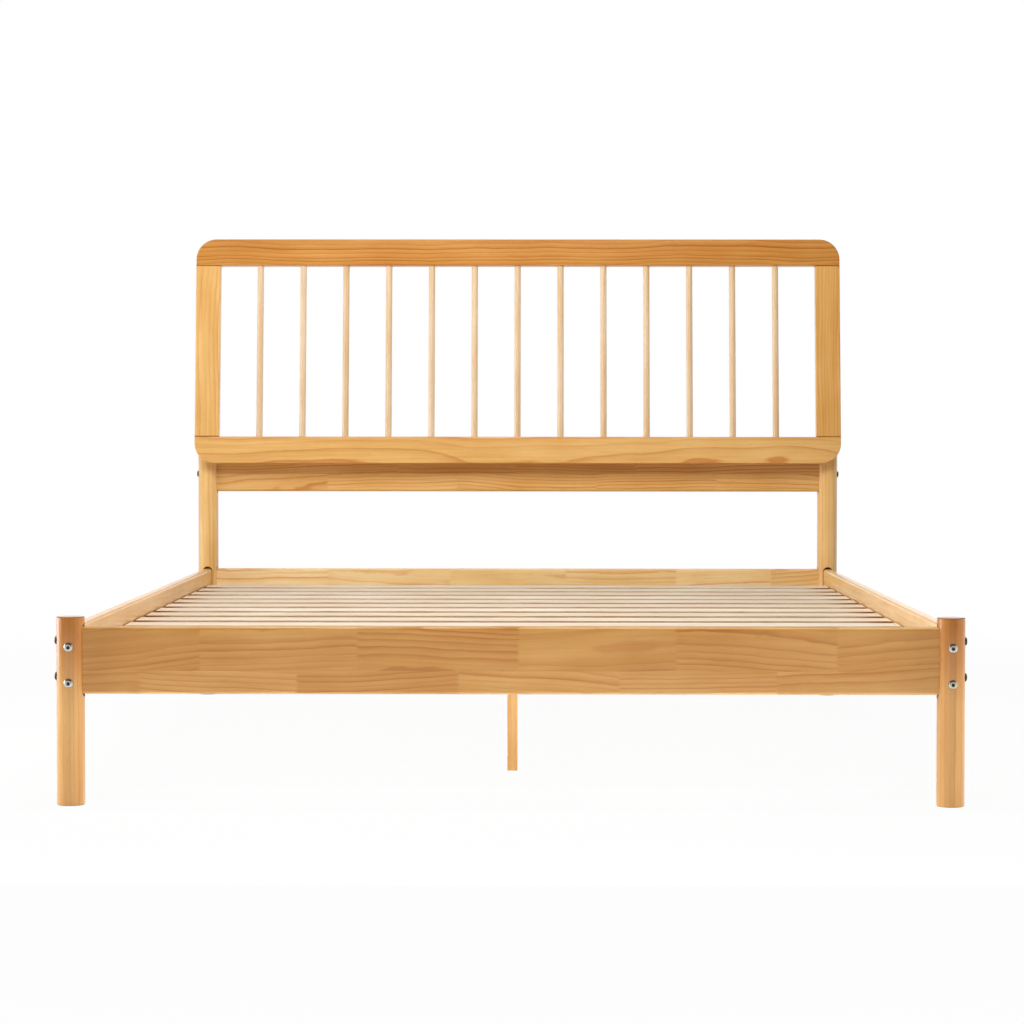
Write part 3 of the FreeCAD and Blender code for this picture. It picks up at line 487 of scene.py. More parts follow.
def make_growth_rings():
    """Node group of solid pine, for any board that is cut from it.

    Place is a point in the board's own frame, whose X is the grain.  Its distance from the
    pith, less slow noise that bends the trunk, counts the rings.  Within a ring the wood
    darkens slowly to late wood and turns pale again at once.  Block is (tone, seed, slope)
    of the block of wood that the point is in, and Middle is where along X the block's
    middle lies: the seed moves the pith about, and the slope turns the grain about there.
    """
    tree = bpy.data.node_groups.new(GROWTH_RINGS, "ShaderNodeTree")
    for name, kind in (("Place", "Vector"), ("Block", "Vector"), ("Middle", "Float"),
                       ("Pith", "Vector"), ("Ring width", "Float"), ("Figure", "Float")):
        tree.interface.new_socket(name, in_out="INPUT", socket_type="NodeSocket" + kind)
    for name in ("Late wood", "Tone", "Fibre"):
        tree.interface.new_socket(name, in_out="OUTPUT", socket_type="NodeSocketFloat")
    n = Nodes(tree)
    given = tree.nodes.new("NodeGroupInput").outputs
    block_tone, seed, block_slope = n.split(given["Block"])[:3]
    chance = n.centred(n.scatter(n.math("MULTIPLY", seed, SEED_SCATTER)))

    # the board's place in the trunk: pith moved about, and grain that runs out a little
    moved = n.vector("SUBTRACT", given["Place"], given["Pith"])
    moved = n.vector("ADD", moved, n.vector("MULTIPLY", chance, PITH_SPREAD))
    along = n.math("SUBTRACT", n.split(given["Place"])[0], given["Middle"])
    slope = n.math("MULTIPLY_ADD", n.split(chance)[0], GRAIN_TURN, block_slope)
    moved = n.vector("SUBTRACT", moved, n.join(
        n.math("MULTIPLY", seed, GRAIN_SHIFT), 0.0, n.math("MULTIPLY", along, slope)))
    sweep = n.centred(n.noise(moved, (2.6, 3.0, 3.0), 1.0, "Color"))
    sweep = n.scaled(sweep, given["Figure"])
    ripple = n.centred(n.noise(moved, (16.0, 45.0, 45.0), 2.0, "Color"))
    bent = n.vector("ADD", n.vector("ADD", moved, sweep), n.scaled(ripple, RIPPLE_DEPTH))
    reach = n.vector("LENGTH", n.vector("MULTIPLY", bent, (0, 1, 1)))

    # rings, uneven in width and in how dark their late wood is
    uneven = n.noise(n.join(reach, seed, 0.0), (60.0, 40.0, 1.0), 1.0)
    count = n.math("ADD", n.math("DIVIDE", reach, given["Ring width"]), uneven)
    part = n.math("FRACT", count)
    late = n.ramp(part, [(0.0, 0.0), (1.0, 0.0), (0.35, 0.10), (0.66, 0.38), (0.84, 0.92),
                         (0.91, 1.0), (0.96, 0.45)], "EASE")[0]
    ring_luck = n.split(n.scatter(n.math("ADD", n.math("FLOOR", count), seed)))[0]
    late = n.math("MULTIPLY", late, n.math("MULTIPLY_ADD", ring_luck, 0.65, 0.35))

    # fibres, resin canals and cloudy tone
    fibre = n.noise(moved, (14.0, 620.0, 620.0), 3.0)
    streak = n.noise(moved, (3.5, 120.0, 120.0), 3.0)
    canal = n.ramp(n.noise(moved, (45.0, 900.0, 900.0), 1.0), [(0.66, 0.0), (0.74, 1.0)])[0]
    cloud = n.noise(moved, (5.0, 14.0, 14.0), 2.0)
    tone = 1.0
    for layer, share in ((cloud, 0.30), (streak, 0.22), (fibre, 0.14)):
        tone = n.math("MULTIPLY_ADD", n.math("SUBTRACT", layer, 0.5), share, tone)
    tone = n.math("MULTIPLY_ADD", canal, -0.10, tone)
    tone = n.math("MULTIPLY", tone, block_tone)
    n.give(tree.nodes.new("NodeGroupOutput"),
           {"Late wood": late, "Tone": tone, "Fibre": fibre})


# The glued boards' finger joints.
FINGER_LENGTH = 0.007
FINGER_PITCH = 0.0042


def add_blocks(n, place, length, strips, seed):
    """Block vector and middle for a board glued up from strips of finger-jointed blocks.

    strips lists, from the lowest up, each strip's top and its blocks: where each ends along
    the board, its tone, seed and slope.  A joint's edge is a zigzag, the height folded back
    and forth over the fingers' pitch.  A strip's ramp has a block's tone, seed and slope as
    its colour, and the block's middle as a share of the board's length as its alpha.
    """
    if not strips:
        return (1.0, seed, 0.0), 0.0
    x, _, z = n.split(place)[:3]
    fingers = n.math("MULTIPLY", n.math("PINGPONG", z, FINGER_PITCH / 2),
                     2 * FINGER_LENGTH / FINGER_PITCH)
    share = n.math("MULTIPLY_ADD", n.math("ADD", x, fingers), 1 / length, 0.5)
    block = middle = None
    for top, blocks in strips:
        starts = [-length / 2] + [end for end, *_ in blocks[:-1]]
        stops = [(start / length + 0.5, (tone, own, slope + 0.5,
                                         (start + end) / 2 / length + 0.5))
                 for start, (end, tone, own, slope) in zip(starts, blocks)]
        ramp = n.ramp(share, stops, "CONSTANT")
        if block is None:
            block, middle = ramp
        else:
            above = n.math("GREATER_THAN", z, below)
            block = n.mix(above, block, ramp[0])
            middle = n.math("ADD", n.math("MULTIPLY", above, ramp[1]), n.math(
                "MULTIPLY", n.math("SUBTRACT", 1.0, above), middle))
        below = top
    tone, own, slope = n.split(block)[:3]
    # the mix rounds a seed differently on each side of a joint in the other strip
    own = n.math("DIVIDE", n.math("ROUND", n.math("MULTIPLY", own, 100.0)), 100.0)
    block = n.join(tone, own, n.math("SUBTRACT", slope, 0.5))
    return block, n.math("MULTIPLY", n.math("SUBTRACT", middle, 0.5), length)


def new_finish(name):
    """New material, with its nodes, its shader and the place on the bed as an output."""
    material = bpy.data.materials.new(name)
    material.use_nodes = True
    n = Nodes(material.node_tree)
    return material, n, n.tree.nodes["Principled BSDF"], n.add("TexCoord").outputs["Object"]


def darker(shade, share):
    return tuple(share * c for c in shade)


# How each way of finishing pine looks: the shade's powers in green and blue, the least and
# the most roughness, and the bump's strength.  Wood takes in more green and blue than red,
# so what is darker is also warmer.
LACQUERED = dict(powers=(1.9, 3.6), rough=(0.34, 0.50), bump=0.25)
RAW = dict(powers=(1.5, 2.1), rough=(0.62, 0.80), bump=0.5)
LACQUER_COAT = 0.9
# Where a board's shade changes, painted shade and painted highlight among it.  The first
# pair is how square to an axis the wood is on a rounded edge and on the flat beside it,
# where the painted highlight or painted shade of a rounded edge lies.  The others are
# distances from a board's end: where a joint's line and the painted shade at the end of
# a sawn side start, and where they are full.
PAINTED_EDGE_RANGE = (0.78, 0.985)
JOINT_LINE = (0.0024, 0.001)
PAINTED_SIDE_SHADE_REACH = (0.07, 0.004)


def pine(name, centre, turn, finish="lacquer", seed=0.5, pith=(0, 0.07, 0.0), ring=0.0065,
         figure=0.03, tone=1.0, painted_end_shade=None, contrast=1.0, strips=(), length=1.6,
         painted_edge_light=0.0, joint_line=False, coat_index=1.4):
    """Pine cut from solid growth rings, in a board's own frame.

    centre and turn place the board's own frame in the bed.  The ring pattern is mixed
    between the finish's two colours, and the fibres make the bump and the roughness.  With
    an end shade the colour darkens towards that end of the grain: painted shade.  The
    edge light is how much paler the rounded edges are: a painted highlight, and painted
    shade where it is below 0.  A joint_line is a dark line where each end meets another
    board.  coat_index is the lacquer's index of refraction.
    """
    colours = bpy.context.scene.bed_finish
    look = RAW if finish == "raw" else LACQUERED
    material, n, shader, spot = new_finish(name)
    place = n.add("Mapping", {"Vector": spot, "Location": centre,
                              "Rotation": turn.to_euler()}, vector_type="TEXTURE").outputs[0]
    block, middle = add_blocks(n, place, length, strips, seed)
    rings = n.add("Group", {
        "Place": place, "Block": block, "Middle": middle, "Pith": pith, "Ring width": ring,
        "Figure": figure}, node_tree=bpy.data.node_groups[GROWTH_RINGS]).outputs
    wood = n.mix(n.math("MULTIPLY", rings["Late wood"], contrast),
                 tuple(getattr(colours, finish + "_early")),
                 tuple(getattr(colours, finish + "_late")))
    along = n.split(place)[0]
    if painted_end_shade is not None:
        tone = n.span(along, (0.0, length / 2), (tone, painted_end_shade), soft=True)
    shade = n.math("MULTIPLY", rings["Tone"], tone)
    for share in edge_shades(n, along, length / 2, look, painted_edge_light, joint_line):
        shade = n.math("MULTIPLY", shade, share)
    depth = n.join(shade, *[n.math("POWER", shade, power) for power in look["powers"]])
    low, high = look["rough"]
    n.give(shader, {
        "Base Color": n.mix(1.0, wood, depth, "MULTIPLY"),
        "Roughness": n.math("MULTIPLY_ADD", rings["Fibre"], high - low, low),
        "Normal": n.bump(rings["Fibre"], look["bump"], 0.0002)})
    if look is LACQUERED:
        n.give(shader, {"Specular IOR Level": 0.25, "Coat Weight": LACQUER_COAT,
                        "Coat IOR": coat_index, "Coat Roughness": 0.22})
    return material


def edge_shades(n, along, half, look, painted_edge_light, joint_line):
    """Shares by which a board is lighter or darker at its edges and ends than elsewhere:
    painted highlight and painted shade on rounded edges and sawn sides, and dark joint lines.
    """
    normal = n.add("NewGeometry").outputs["Normal"]
    from_middle = n.math("ABSOLUTE", along)
    shares = []
    if painted_edge_light:
        # painted highlight, or painted shade where the share is below 0, on rounded edges,
        # whose normal is along none of the axes
        steep = n.split(n.vector("ABSOLUTE", normal))
        flat = n.math("MAXIMUM", n.math("MAXIMUM", steep[0], steep[1]), steep[2])
        shares.append(n.span(flat, PAINTED_EDGE_RANGE, (1 + painted_edge_light, 1.0)))
    if joint_line:
        line = [half - distance for distance in JOINT_LINE]
        shares.append(n.span(from_middle, line, (1.0, 0.5)))
    if look is RAW:
        # painted shade: the sawn sides, which are rough, are darker than the planed faces, most
        # so near the ends, where the side rails shade them
        upward = n.math("ABSOLUTE", n.split(normal)[2])
        dark = [half - distance for distance in PAINTED_SIDE_SHADE_REACH]
        side = n.span(from_middle, dark, (0.80, 0.3), soft=True)
        shares.append(n.span(upward, (0.45, 0.85), (side, 1.0)))
    return shares


def zinc():
    """Bright zinc plate: a faint yellow bloom, fine grain and uneven polish."""
    colours = bpy.context.scene.bed_finish
    material, n, shader, place = new_finish("zinc plate")
    bloom = n.ramp(n.noise(place, (9.0, 9.0, 9.0), 1.0), [(0.45, 0.0), (0.62, 0.85)])[0]
    grain = n.noise(place, (900.0, 900.0, 900.0), 3.0)
    n.give(shader, {
        "Base Color": n.mix(bloom, tuple(colours.zinc), tuple(colours.zinc_tint)),
        "Roughness": n.math("MULTIPLY_ADD", grain, 0.14, 0.08),
        "Metallic": 1.0,
        "Normal": n.bump(grain, 0.2, 0.0001)})
    return material


def zinc_in_painted_shade():
    """Painted shade on zinc: dark, with a coarser grain."""
    dull = tuple(bpy.context.scene.bed_finish.zinc_shade)
    material, n, shader, place = new_finish("dull zinc")
    grain = n.noise(place, (700.0, 700.0, 700.0), 3.0)
    n.give(shader, {
        "Base Color": n.mix(grain, dull, darker(dull, 0.6)),
        "Roughness": n.math("MULTIPLY_ADD", grain, 0.3, 0.3),
        "Metallic": 1.0})
    return material


def seat_painted_shade():
    """Painted shade inside the posts' seats, dark brown and swirled in rings."""
    seat = tuple(bpy.context.scene.bed_finish.seat)
    material, n, shader, place = new_finish("bare seat")
    swirl = n.noise(place, (300.0, 300.0, 60.0), 3.0)
    n.give(shader, {
        "Base Color": n.mix(swirl, seat, darker(seat, 0.5)),
        "Roughness": n.math("MULTIPLY_ADD", swirl, 0.2, 0.6)})
    return material


def beech():
    """Beech of the dowels: plain wood with short dark flecks."""
    colours = bpy.context.scene.bed_finish
    material, n, shader, place = new_finish("beech dowel")
    fleck = n.noise(place, (700.0, 700.0, 260.0), 2.0)
    share = n.ramp(fleck, [(0.5, 0.0), (0.7, 0.9)])[0]
    n.give(shader, {
        "Base Color": n.mix(share, tuple(colours.beech), tuple(colours.beech_fleck)),
        "Roughness": n.math("MULTIPLY_ADD", fleck, 0.2, 0.5),
        "Normal": n.bump(fleck, 0.3, 0.0001)})
    return material


# ---- the stage --------------------------------------------------------------------------

FLOOR_REACH = 12.0
# How white the floor shows near the bed, beside the hall's white.
FLOOR_GLOW = 0.95


def make_hall(scene, levels):
    """White hall round the bed, dim behind the camera and in mirrored views of its ceiling."""
    world = bpy.data.worlds.new("studio")
    world.use_nodes = True
    scene.world = world
    n = Nodes(world.node_tree)
    _, forward, up = n.split(n.add("TexCoord").outputs["Generated"])[:3]
    wall = n.span(forward, (-0.85, 0.15), (levels.front, 1.0), soft=True)
    ceiling = n.span(up, (0.35, 0.85), (1.0, levels.ceiling), soft=True)
    ray = n.add("LightPath").outputs
    straight = n.math("MAXIMUM", ray["Is Camera Ray"], ray["Is Transmission Ray"])
    share = n.math("MULTIPLY_ADD", ray["Is Glossy Ray"],
                   n.math("SUBTRACT", ceiling, levels.world), levels.world)
    n.give(n.tree.nodes["Background"], {
        "Color": (1, 1, 1, 1),
        "Strength": n.math("MAXIMUM", straight, n.math("MULTIPLY", wall, share))})


def add_floor(scene, levels):
    """Pale floor, as white as the hall far from the bed.

    It glows for the rays that see the stage itself: straight, mirrored or through glass.
    """
    corners = np.array([[-1, -1, 0], [1, -1, 0], [1, 1, 0], [-1, 1, 0]]) * FLOOR_REACH
    mesh = bpy.data.meshes.new("floor")
    mesh.from_pydata(corners, [], [[0, 1, 2, 3]])
    floor = bpy.data.objects.new("floor", mesh)
    scene.collection.objects.link(floor)
    material, n, paint, place = new_finish("pale floor")
    n.give(paint, {"Base Color": (*levels.floor, 1), "Roughness": 0.9,
                   "Specular IOR Level": 0.2})
    glow = n.add("Emission", {"Color": (1, 1, 1, 1), "Strength": 1.0})
    ray = n.add("LightPath").outputs
    seen = n.math("MAXIMUM", ray["Is Camera Ray"], ray["Is Glossy Ray"])
    seen = n.math("MAXIMUM", seen, ray["Is Transmission Ray"])
    white = n.span(n.vector("LENGTH", place), (1.5, 4.0), (FLOOR_GLOW, 1.0), soft=True)
    chosen = n.add("MixShader", {"Fac": n.math("MULTIPLY", seen, white)})
    n.plug(paint.outputs[0], chosen.inputs[1])
    n.plug(glow.outputs[0], chosen.inputs[2])
    n.plug(chosen.outputs[0], n.tree.nodes["Material Output"].inputs["Surface"])
    mesh.materials.append(material)


def add_lamp(name, place, target, width, height, power, mirrored=False):
    """Soft rectangular lamp at a place, turned to a target."""
    light = bpy.data.lights.new(name, "AREA")
    light.shape = "RECTANGLE"
    light.size = width
    light.size_y = height
    light.energy = power
    lamp = bpy.data.objects.new(name, light)
    lamp.location = place
    lamp.rotation_euler = (Vector(target) - Vector(place)).to_track_quat("-Z", "Y").to_euler()
    lamp.visible_camera = False
    lamp.visible_glossy = mirrored
    bpy.context.scene.collection.objects.link(lamp)
    return lamp


def add_lamps(levels):
    """Soft lamps round the bed, of which only the left one shows in its lacquer."""
    add_lamp("overhead lamp", (-0.15, -0.7, 2.2), (0, 0.2, 0.3), 2.0, 1.0, levels.overhead)
    add_lamp("left lamp", (-3.2, 0.1, 0.8), (0, 0.1, 0.4), 1.4, 1.4, levels.left,
             mirrored=True)
    for side, sign in SIDES.items():
        rim = add_lamp(f"{side} rim lamp", (7.0 * sign, -2.1, 0.3), (0, -1.03, 0.17), 1.2, 0.5,
                       levels.rim)
        rim.data.spread = math.radians(20)
    add_lamp("low lamp", (0, -1.9, 0.13), (0, 0, 0.13), 3.4, 0.25, levels.low)
    add_lamp("under lamp", (0, -0.98, 0.1), (0, 0, 0.1), 1.2, 0.12, levels.under)


def add_camera(scene):
    """Camera where the photograph was taken from."""
    camera = bpy.data.objects.new("camera", bpy.data.cameras.new("camera"))
    camera.data.sensor_width = 36.0
    camera.data.lens = 96.2
    camera.location = (0.0422, -5.8849, 0.6637)
    down, roll, pan = 1.680, -0.045, 0.466
    camera.rotation_euler = [math.radians(a) for a in (90 - down, roll, pan)]
    scene.collection.objects.link(camera)
    scene.camera = camera


class BED_OT_stage(bpy.types.Operator):
    """Pale floor, white surroundings, soft lamps and the camera"""

    bl_idname = "bed.stage"
    bl_label = "Stage"

    def execute(self, context):
        scene = context.scene
        levels = scene.studio_light
        scene.view_settings.view_transform = "Standard"
        make_hall(scene, levels)
        add_floor(scene, levels)
        add_lamps(levels)
        add_camera(scene)
        return {"FINISHED"}


# ---- posts ------------------------------------------------------------------------------

# How the lacquer of the foot posts and of the head posts differs.  The foot posts are
# darkened towards their tops: painted shade.
POST_LOOK = {
    "foot": dict(tone=0.89, painted_end_shade=0.60, coat_index=1.65),
    "head": dict(tone=1.08, coat_index=1.3),
}


def pair_heights(shape, node):
    """Heights of the side rails' and the cross rails' pair of bolts, from their box.

    The side rails' pair has the lowest bolt, and the cross rails' pair the highest.
    """
    low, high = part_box(node)
    lowest = low.z + shape.bolt_head / 2
    highest = high.z - shape.bolt_head / 2
    return [lowest, lowest + shape.bolt_pitch], [highest - shape.bolt_pitch, highest]


def round_post(shape, radius, height):
    """Post about Z from the floor up, with rounded ends."""
    inset, rise = quarter_round(shape.post_round, 6)
    foot = np.column_stack([radius - inset, rise])
    top = np.column_stack([radius - inset[::-1], height - rise[::-1]])
    return turned(np.concatenate([foot, top]), 128)


def seat_cutters(shape, post, radius, rails):
    """Slots for the ends of the rails that meet a post, cut in from its inner sides.

    rails holds each rail's node, and the turn from +X to the side where it meets the post.
    """
    cutters = []
    for rail, turn in rails:
        size = extent(rail)
        width = min(size.x, size.y) + 2 * shape.seat_side_gap
        outline = slot_outline(width, size.z + 2 * shape.seat_end_gap)
        cutter = prism(outline, radius - shape.seat_depth, radius + CLEARANCE)
        place = Matrix.Translation((post.x, post.y, middle(rail).z)) @ turn
        cutters.append(placed(cutter, place))
    return cutters


def recess_cutters(shape, post, radius, rows):
    """Shallow round recesses under the bolts' heads, on a post's outer sides.

    rows holds, for each side, the turn from +Z to it and the heights of its bolts.
    """
    r = shape.bolt_head / 2 + shape.recess_gap
    pin = turned([(r, radius - shape.bolt_recess), (r, radius + CLEARANCE)], 48)
    return [placed(pin, Matrix.Translation((post.x, post.y, z)) @ turn)
            for turn, heights in rows for z in heights]


def lean_cutter(shape, panel, post, height):
    """Box in front of the plane of the headboard's back, wider than the post that it cuts."""
    half, below, depth = 0.05, 0.12, 0.08
    outline = np.array([[-half, -below], [half, -below], [half, height], [-half, height]])
    back = shape.panel_thickness
    box = prism(outline, back - depth, back)
    # the prism's X becomes the headboard's Y
    turn = Matrix(((0, -1, 0, post.x), (1, 0, 0, 0), (0, 0, 1, 0), (0, 0, 0, 1)))
    return placed(box, panel.matrix @ turn)


def paint_seat_shade(mesh, post, radius, lean, material):
    """Give the seats' faces the material of painted shade: those inside a post's round, but
    not its ends and the flat that the headboard leans on.
    """
    under_skin, alike = 0.0006, 0.9995
    away = face_rows(mesh, "center")[:, :2] - np.array(post[:2])
    inside = np.hypot(*away.T) < radius - under_skin
    normals = face_rows(mesh, "normal")
    level = np.abs(normals[:, 2]) > alike
    leaning = np.abs(normals @ np.array(lean)) > alike
    paint_faces(mesh, inside & ~level & ~leaning, material)


class BED_OT_posts(bpy.types.Operator):
    """Four round posts with seats for the rails and recesses for the bolts"""

    bl_idname = "bed.posts"
    bl_label = "Posts"

    def execute(self, context):
        shape = context.scene.bed_shape
        seat = seat_painted_shade()
        for end in ENDS:
            for side in SIDES:
                self.add_post(shape, end, side, seat)
        return {"FINISHED"}

    def add_post(self, shape, end, side, seat):
        """One post: its round, what is cut into it, its pine and the painted shade in its
        seats.
        """
        sign_x, sign_y = SIDES[side], ENDS[end]
        node = f"{end}_post_{side}"
        post, size = middle(node), extent(node)
        radius = size.x / 2
        panel = Panel(shape)
        inward_x = Matrix.Rotation(0 if sign_x < 0 else math.pi, 4, "Z")
        inward_y = Matrix.Rotation(-sign_y * math.pi / 2, 4, "Z")
        outward_x = Matrix.Rotation(sign_x * math.pi / 2, 4, "Y")
        outward_y = Matrix.Rotation(-sign_y * math.pi / 2, 4, "X")
        rails = [(f"{end}_rail", inward_x), (f"side_rail_{side}", inward_y)]
        side_pair, outer = pair_heights(shape, f"{end}_post_bolts")
        if end == "head":
            rails.append(("headboard_apron", inward_x))
            outer.append(middle("apron_bolts").z)
        cutters = seat_cutters(shape, post, radius, rails)
        cutters += recess_cutters(shape, post, radius,
                                  [(outward_x, outer), (outward_y, side_pair)])
        if end == "head":
            cutters.append(lean_cutter(shape, panel, post, size.z))
        body = placed(round_post(shape, radius, size.z),
                      Matrix.Translation((post.x, post.y, 0)))
        mesh = cut_away(skin(node, [body]), cutters)
        material = pine(
            f"pine {end} post {side}", post, UPRIGHT,
            seed=0.33 + 0.19 * sign_x + 0.07 * sign_y, pith=(0, 0.035, 0.03), ring=0.008,
            figure=0.012, contrast=0.35, length=size.z, **POST_LOOK[end])
        add_piece(node, "turned", mesh, material)
        paint_seat_shade(mesh, post, radius, panel.turn @ Vector((0, 1, 0)), seat)


# ---- rails ------------------------------------------------------------------------------

# Strips of the glued-up rails, lowest first: the strip's top above the rail's middle, and
# for each block where it ends along the rail, its tone, its seed and its grain's slope.
RAIL_STRIPS = {
    "foot": [
        (-0.0185, [(-0.658, 0.93, 0.11, 0.0), (-0.377, 1.02, 0.52, -0.06),
                   (-0.094, 0.94, 0.73, 0.05), (0.192, 1.02, 0.34, -0.05),
                   (0.472, 1.03, 0.95, 0.02), (0.760, 1.0, 0.26, 0.08)]),
        (0.06, [(-0.550, 0.90, 0.57, 0.09), (-0.272, 0.955, 0.18, 0.02),
                (0.012, 0.945, 0.79, -0.05), (0.295, 0.96, 0.40, 0.05),
                (0.583, 0.965, 0.01, -0.06), (0.760, 0.95, 0.62, 0.07)]),
    ],
    "head": [
        (-0.0185, [(-0.55, 1.0, 0.15, 0.0), (-0.30, 1.03, 0.36, 0.03),
                   (-0.02, 0.98, 0.57, -0.03), (0.25, 1.0, 0.78, 0.04),
                   (0.53, 1.02, 0.99, -0.02), (0.760, 0.97, 0.20, 0.06)]),
        (0.06, [(-0.48, 1.02, 0.41, 0.02), (-0.17, 1.0, 0.62, -0.04),
                (0.12, 1.0, 0.83, 0.03), (0.40, 0.97, 0.04, -0.02),
                (0.64, 1.0, 0.25, 0.05), (0.760, 0.95, 0.46, 0.08)]),
    ],
    "apron": [
        (0.0, [(-0.48, 1.0, 0.35, 0.06), (-0.15, 1.02, 0.72, 0.0), (0.2, 0.98, 0.19, -0.03),
               (0.5, 1.0, 0.56, 0.02), (0.76, 0.97, 0.93, -0.04)]),
        # the upper strip's tones are lowered by about a tenth: painted shade under the
        # headboard's bottom rail
        (0.044, [(-0.3, 0.91, 0.07, 0.03), (0.0, 0.87, 0.44, 0.0), (0.3, 0.90, 0.81, -0.02),
                 (0.76, 0.92, 0.28, 0.03)]),
    ],
}


def add_rail(shape, node, turn, heights, material):
    """Board on edge with rounded edges, and its nuts' bores cut in from its own +Y face."""
    size, centre = extent(node), middle(node)
    length, thickness = max(size.x, size.y), min(size.x, size.y)
    body = board(length, thickness, size.z, shape.rail_round, shape.end_ease)
    r, face = shape.nut_bore / 2, thickness / 2
    pin = turned([(r, face - shape.nut_depth), (r, face + CLEARANCE)], 40)
    to_face = Matrix.Rotation(-math.pi / 2, 4, "X")
    reach = length / 2 - shape.nut_setback
    cutters = [placed(pin, Matrix.Translation((x, 0, z - centre.z)) @ to_face)
               for x in (-reach, reach) for z in heights]
    mesh = cut_away(skin(node, [body]), cutters)
    mesh.transform(Matrix.Translation(centre) @ turn)
    add_piece(node, "planed", mesh, material)


class BED_OT_cross_rails(bpy.types.Operator):
    """Foot rail and head rail, glued up from strips of finger-jointed pine"""

    bl_idname = "bed.cross_rails"
    bl_label = "Cross rails"

    def execute(self, context):
        shape = context.scene.bed_shape
        # the foot rail's rounded edges are made paler: a painted highlight
        for end, tone, painted_edge_light in (("foot", 0.865, 0.3), ("head", 1.22, 0.0)):
            node = f"{end}_rail"
            heights = pair_heights(shape, f"{end}_post_bolts")[1]
            material = pine(
                f"pine {end} rail", middle(node), ACROSS, pith=(0, 0.06, 0.0), ring=0.0065,
                figure=0.018, tone=tone, contrast=0.75, strips=RAIL_STRIPS[end],
                length=extent(node).x, painted_edge_light=painted_edge_light)
            add_rail(shape, node, ACROSS, heights, material)
        return {"FINISHED"}


class BED_OT_side_rails(bpy.types.Operator):
    """Two long rails from foot to head"""

    bl_idname = "bed.side_rails"
    bl_label = "Side rails"

    def execute(self, context):
        shape = context.scene.bed_shape
        heights = pair_heights(shape, "foot_post_bolts")[0]
        for side, tone in (("left", 1.01), ("right", 1.17)):
            node = f"side_rail_{side}"
            turn = Matrix.Rotation(SIDES[side] * math.pi / 2, 4, "Z")
            # the side rails' rounded edges are made darker: painted shade
            material = pine(
                f"pine side rail {side}", middle(node), turn, seed=0.43 + 0.2 * SIDES[side],
                pith=(0, 0.05, 0.05), ring=0.009, figure=0.012, tone=tone, contrast=0.3,
                length=extent(node).y, painted_edge_light=-0.2)
            add_rail(shape, node, turn, heights, material)
        return {"FINISHED"}


class BED_OT_apron(bpy.types.Operator):
    """Board between the head posts, under the headboard"""

    bl_idname = "bed.apron"
    bl_label = "Apron"

    def execute(self, context):
        node = "headboard_apron"
        material = pine(
            "pine apron", middle(node), ACROSS, pith=(0, 0.05, -0.03), ring=0.006,
            figure=0.03, contrast=0.9, length=extent(node).x, strips=RAIL_STRIPS["apron"])
        add_rail(context.scene.bed_shape, node, ACROSS, [middle("apron_bolts").z], material)
        return {"FINISHED"}


# ---- headboard --------------------------------------------------------------------------

# How the wood of the headboard's two rails differs.
HEADBOARD_WOOD = {
    "top": dict(seed=0.31, pith=(0, 0.02, 0.05), ring=0.0075, figure=0.03, tone=0.785,
                contrast=1.05),
    "bottom": dict(seed=0.77, pith=(0, 0.055, -0.01), ring=0.013, figure=0.06, tone=1.02,
                   contrast=0.8),
}


def corner_outline(width, height, radius, round_in, steps=20):
    """Front outline of a headboard rail whose upper corners are large rounds.

    Anticlockwise from the lower left, moved inwards by round_in on every side.
    """
    a = np.linspace(0, np.pi / 2, steps + 1)
    r = radius - round_in
    x, z = width / 2 - radius, height - radius
    right = np.stack([x + r * np.cos(a), z + r * np.sin(a)], -1)
    left = np.stack([-x - r * np.sin(a), z + r * np.cos(a)], -1)
    low = np.array([[-width / 2 + round_in, round_in], [width / 2 - round_in, round_in]])
    return np.concatenate([low, right, left])


def headboard_rail(shape, width, flip):
    """Headboard rail in its own frame: its outline carried from its back to its front.

    At both faces the outline moves in along a quarter round.  flip turns the rail upside
    down.
    """
    inset, depth = quarter_round(shape.panel_round, 6)
    inset = np.concatenate([inset, inset[::-1]])
    depth = np.concatenate([depth, shape.panel_thickness - depth[::-1]])
    outline = np.stack([corner_outline(width, shape.panel_rail, shape.panel_corner, i)
                        for i in inset])
    x, z = outline[..., 0], outline[..., 1]
    if flip:
        x, z = -x, shape.panel_rail - z
    y = np.broadcast_to(depth[:, None], x.shape)
    return np.stack([x, y, z], -1)[:, ::-1]


class BED_OT_headboard_rails(bpy.types.Operator):
    """Top and bottom rails of the headboard, with large round outer corners"""

    bl_idname = "bed.headboard_rails"
    bl_label = "Headboard rails"

    def execute(self, context):
        shape = context.scene.bed_shape
        panel = Panel(shape)
        for end, height, flip in (("top", panel.height - shape.panel_rail, False),
                                  ("bottom", 0.0, True)):
            node = f"headboard_{end}_rail"
            place = panel.matrix @ Matrix.Translation((0, 0, height))
            rings = placed(headboard_rail(shape, panel.width, flip), place)
            centre = place @ Vector((0, shape.panel_thickness / 2, shape.panel_rail / 2))
            material = pine(f"pine headboard {end} rail", centre, panel.turn,
                            length=panel.width, **HEADBOARD_WOOD[end])
            add_piece(node, "shaped", skin(node, [rings]), material)
        return {"FINISHED"}


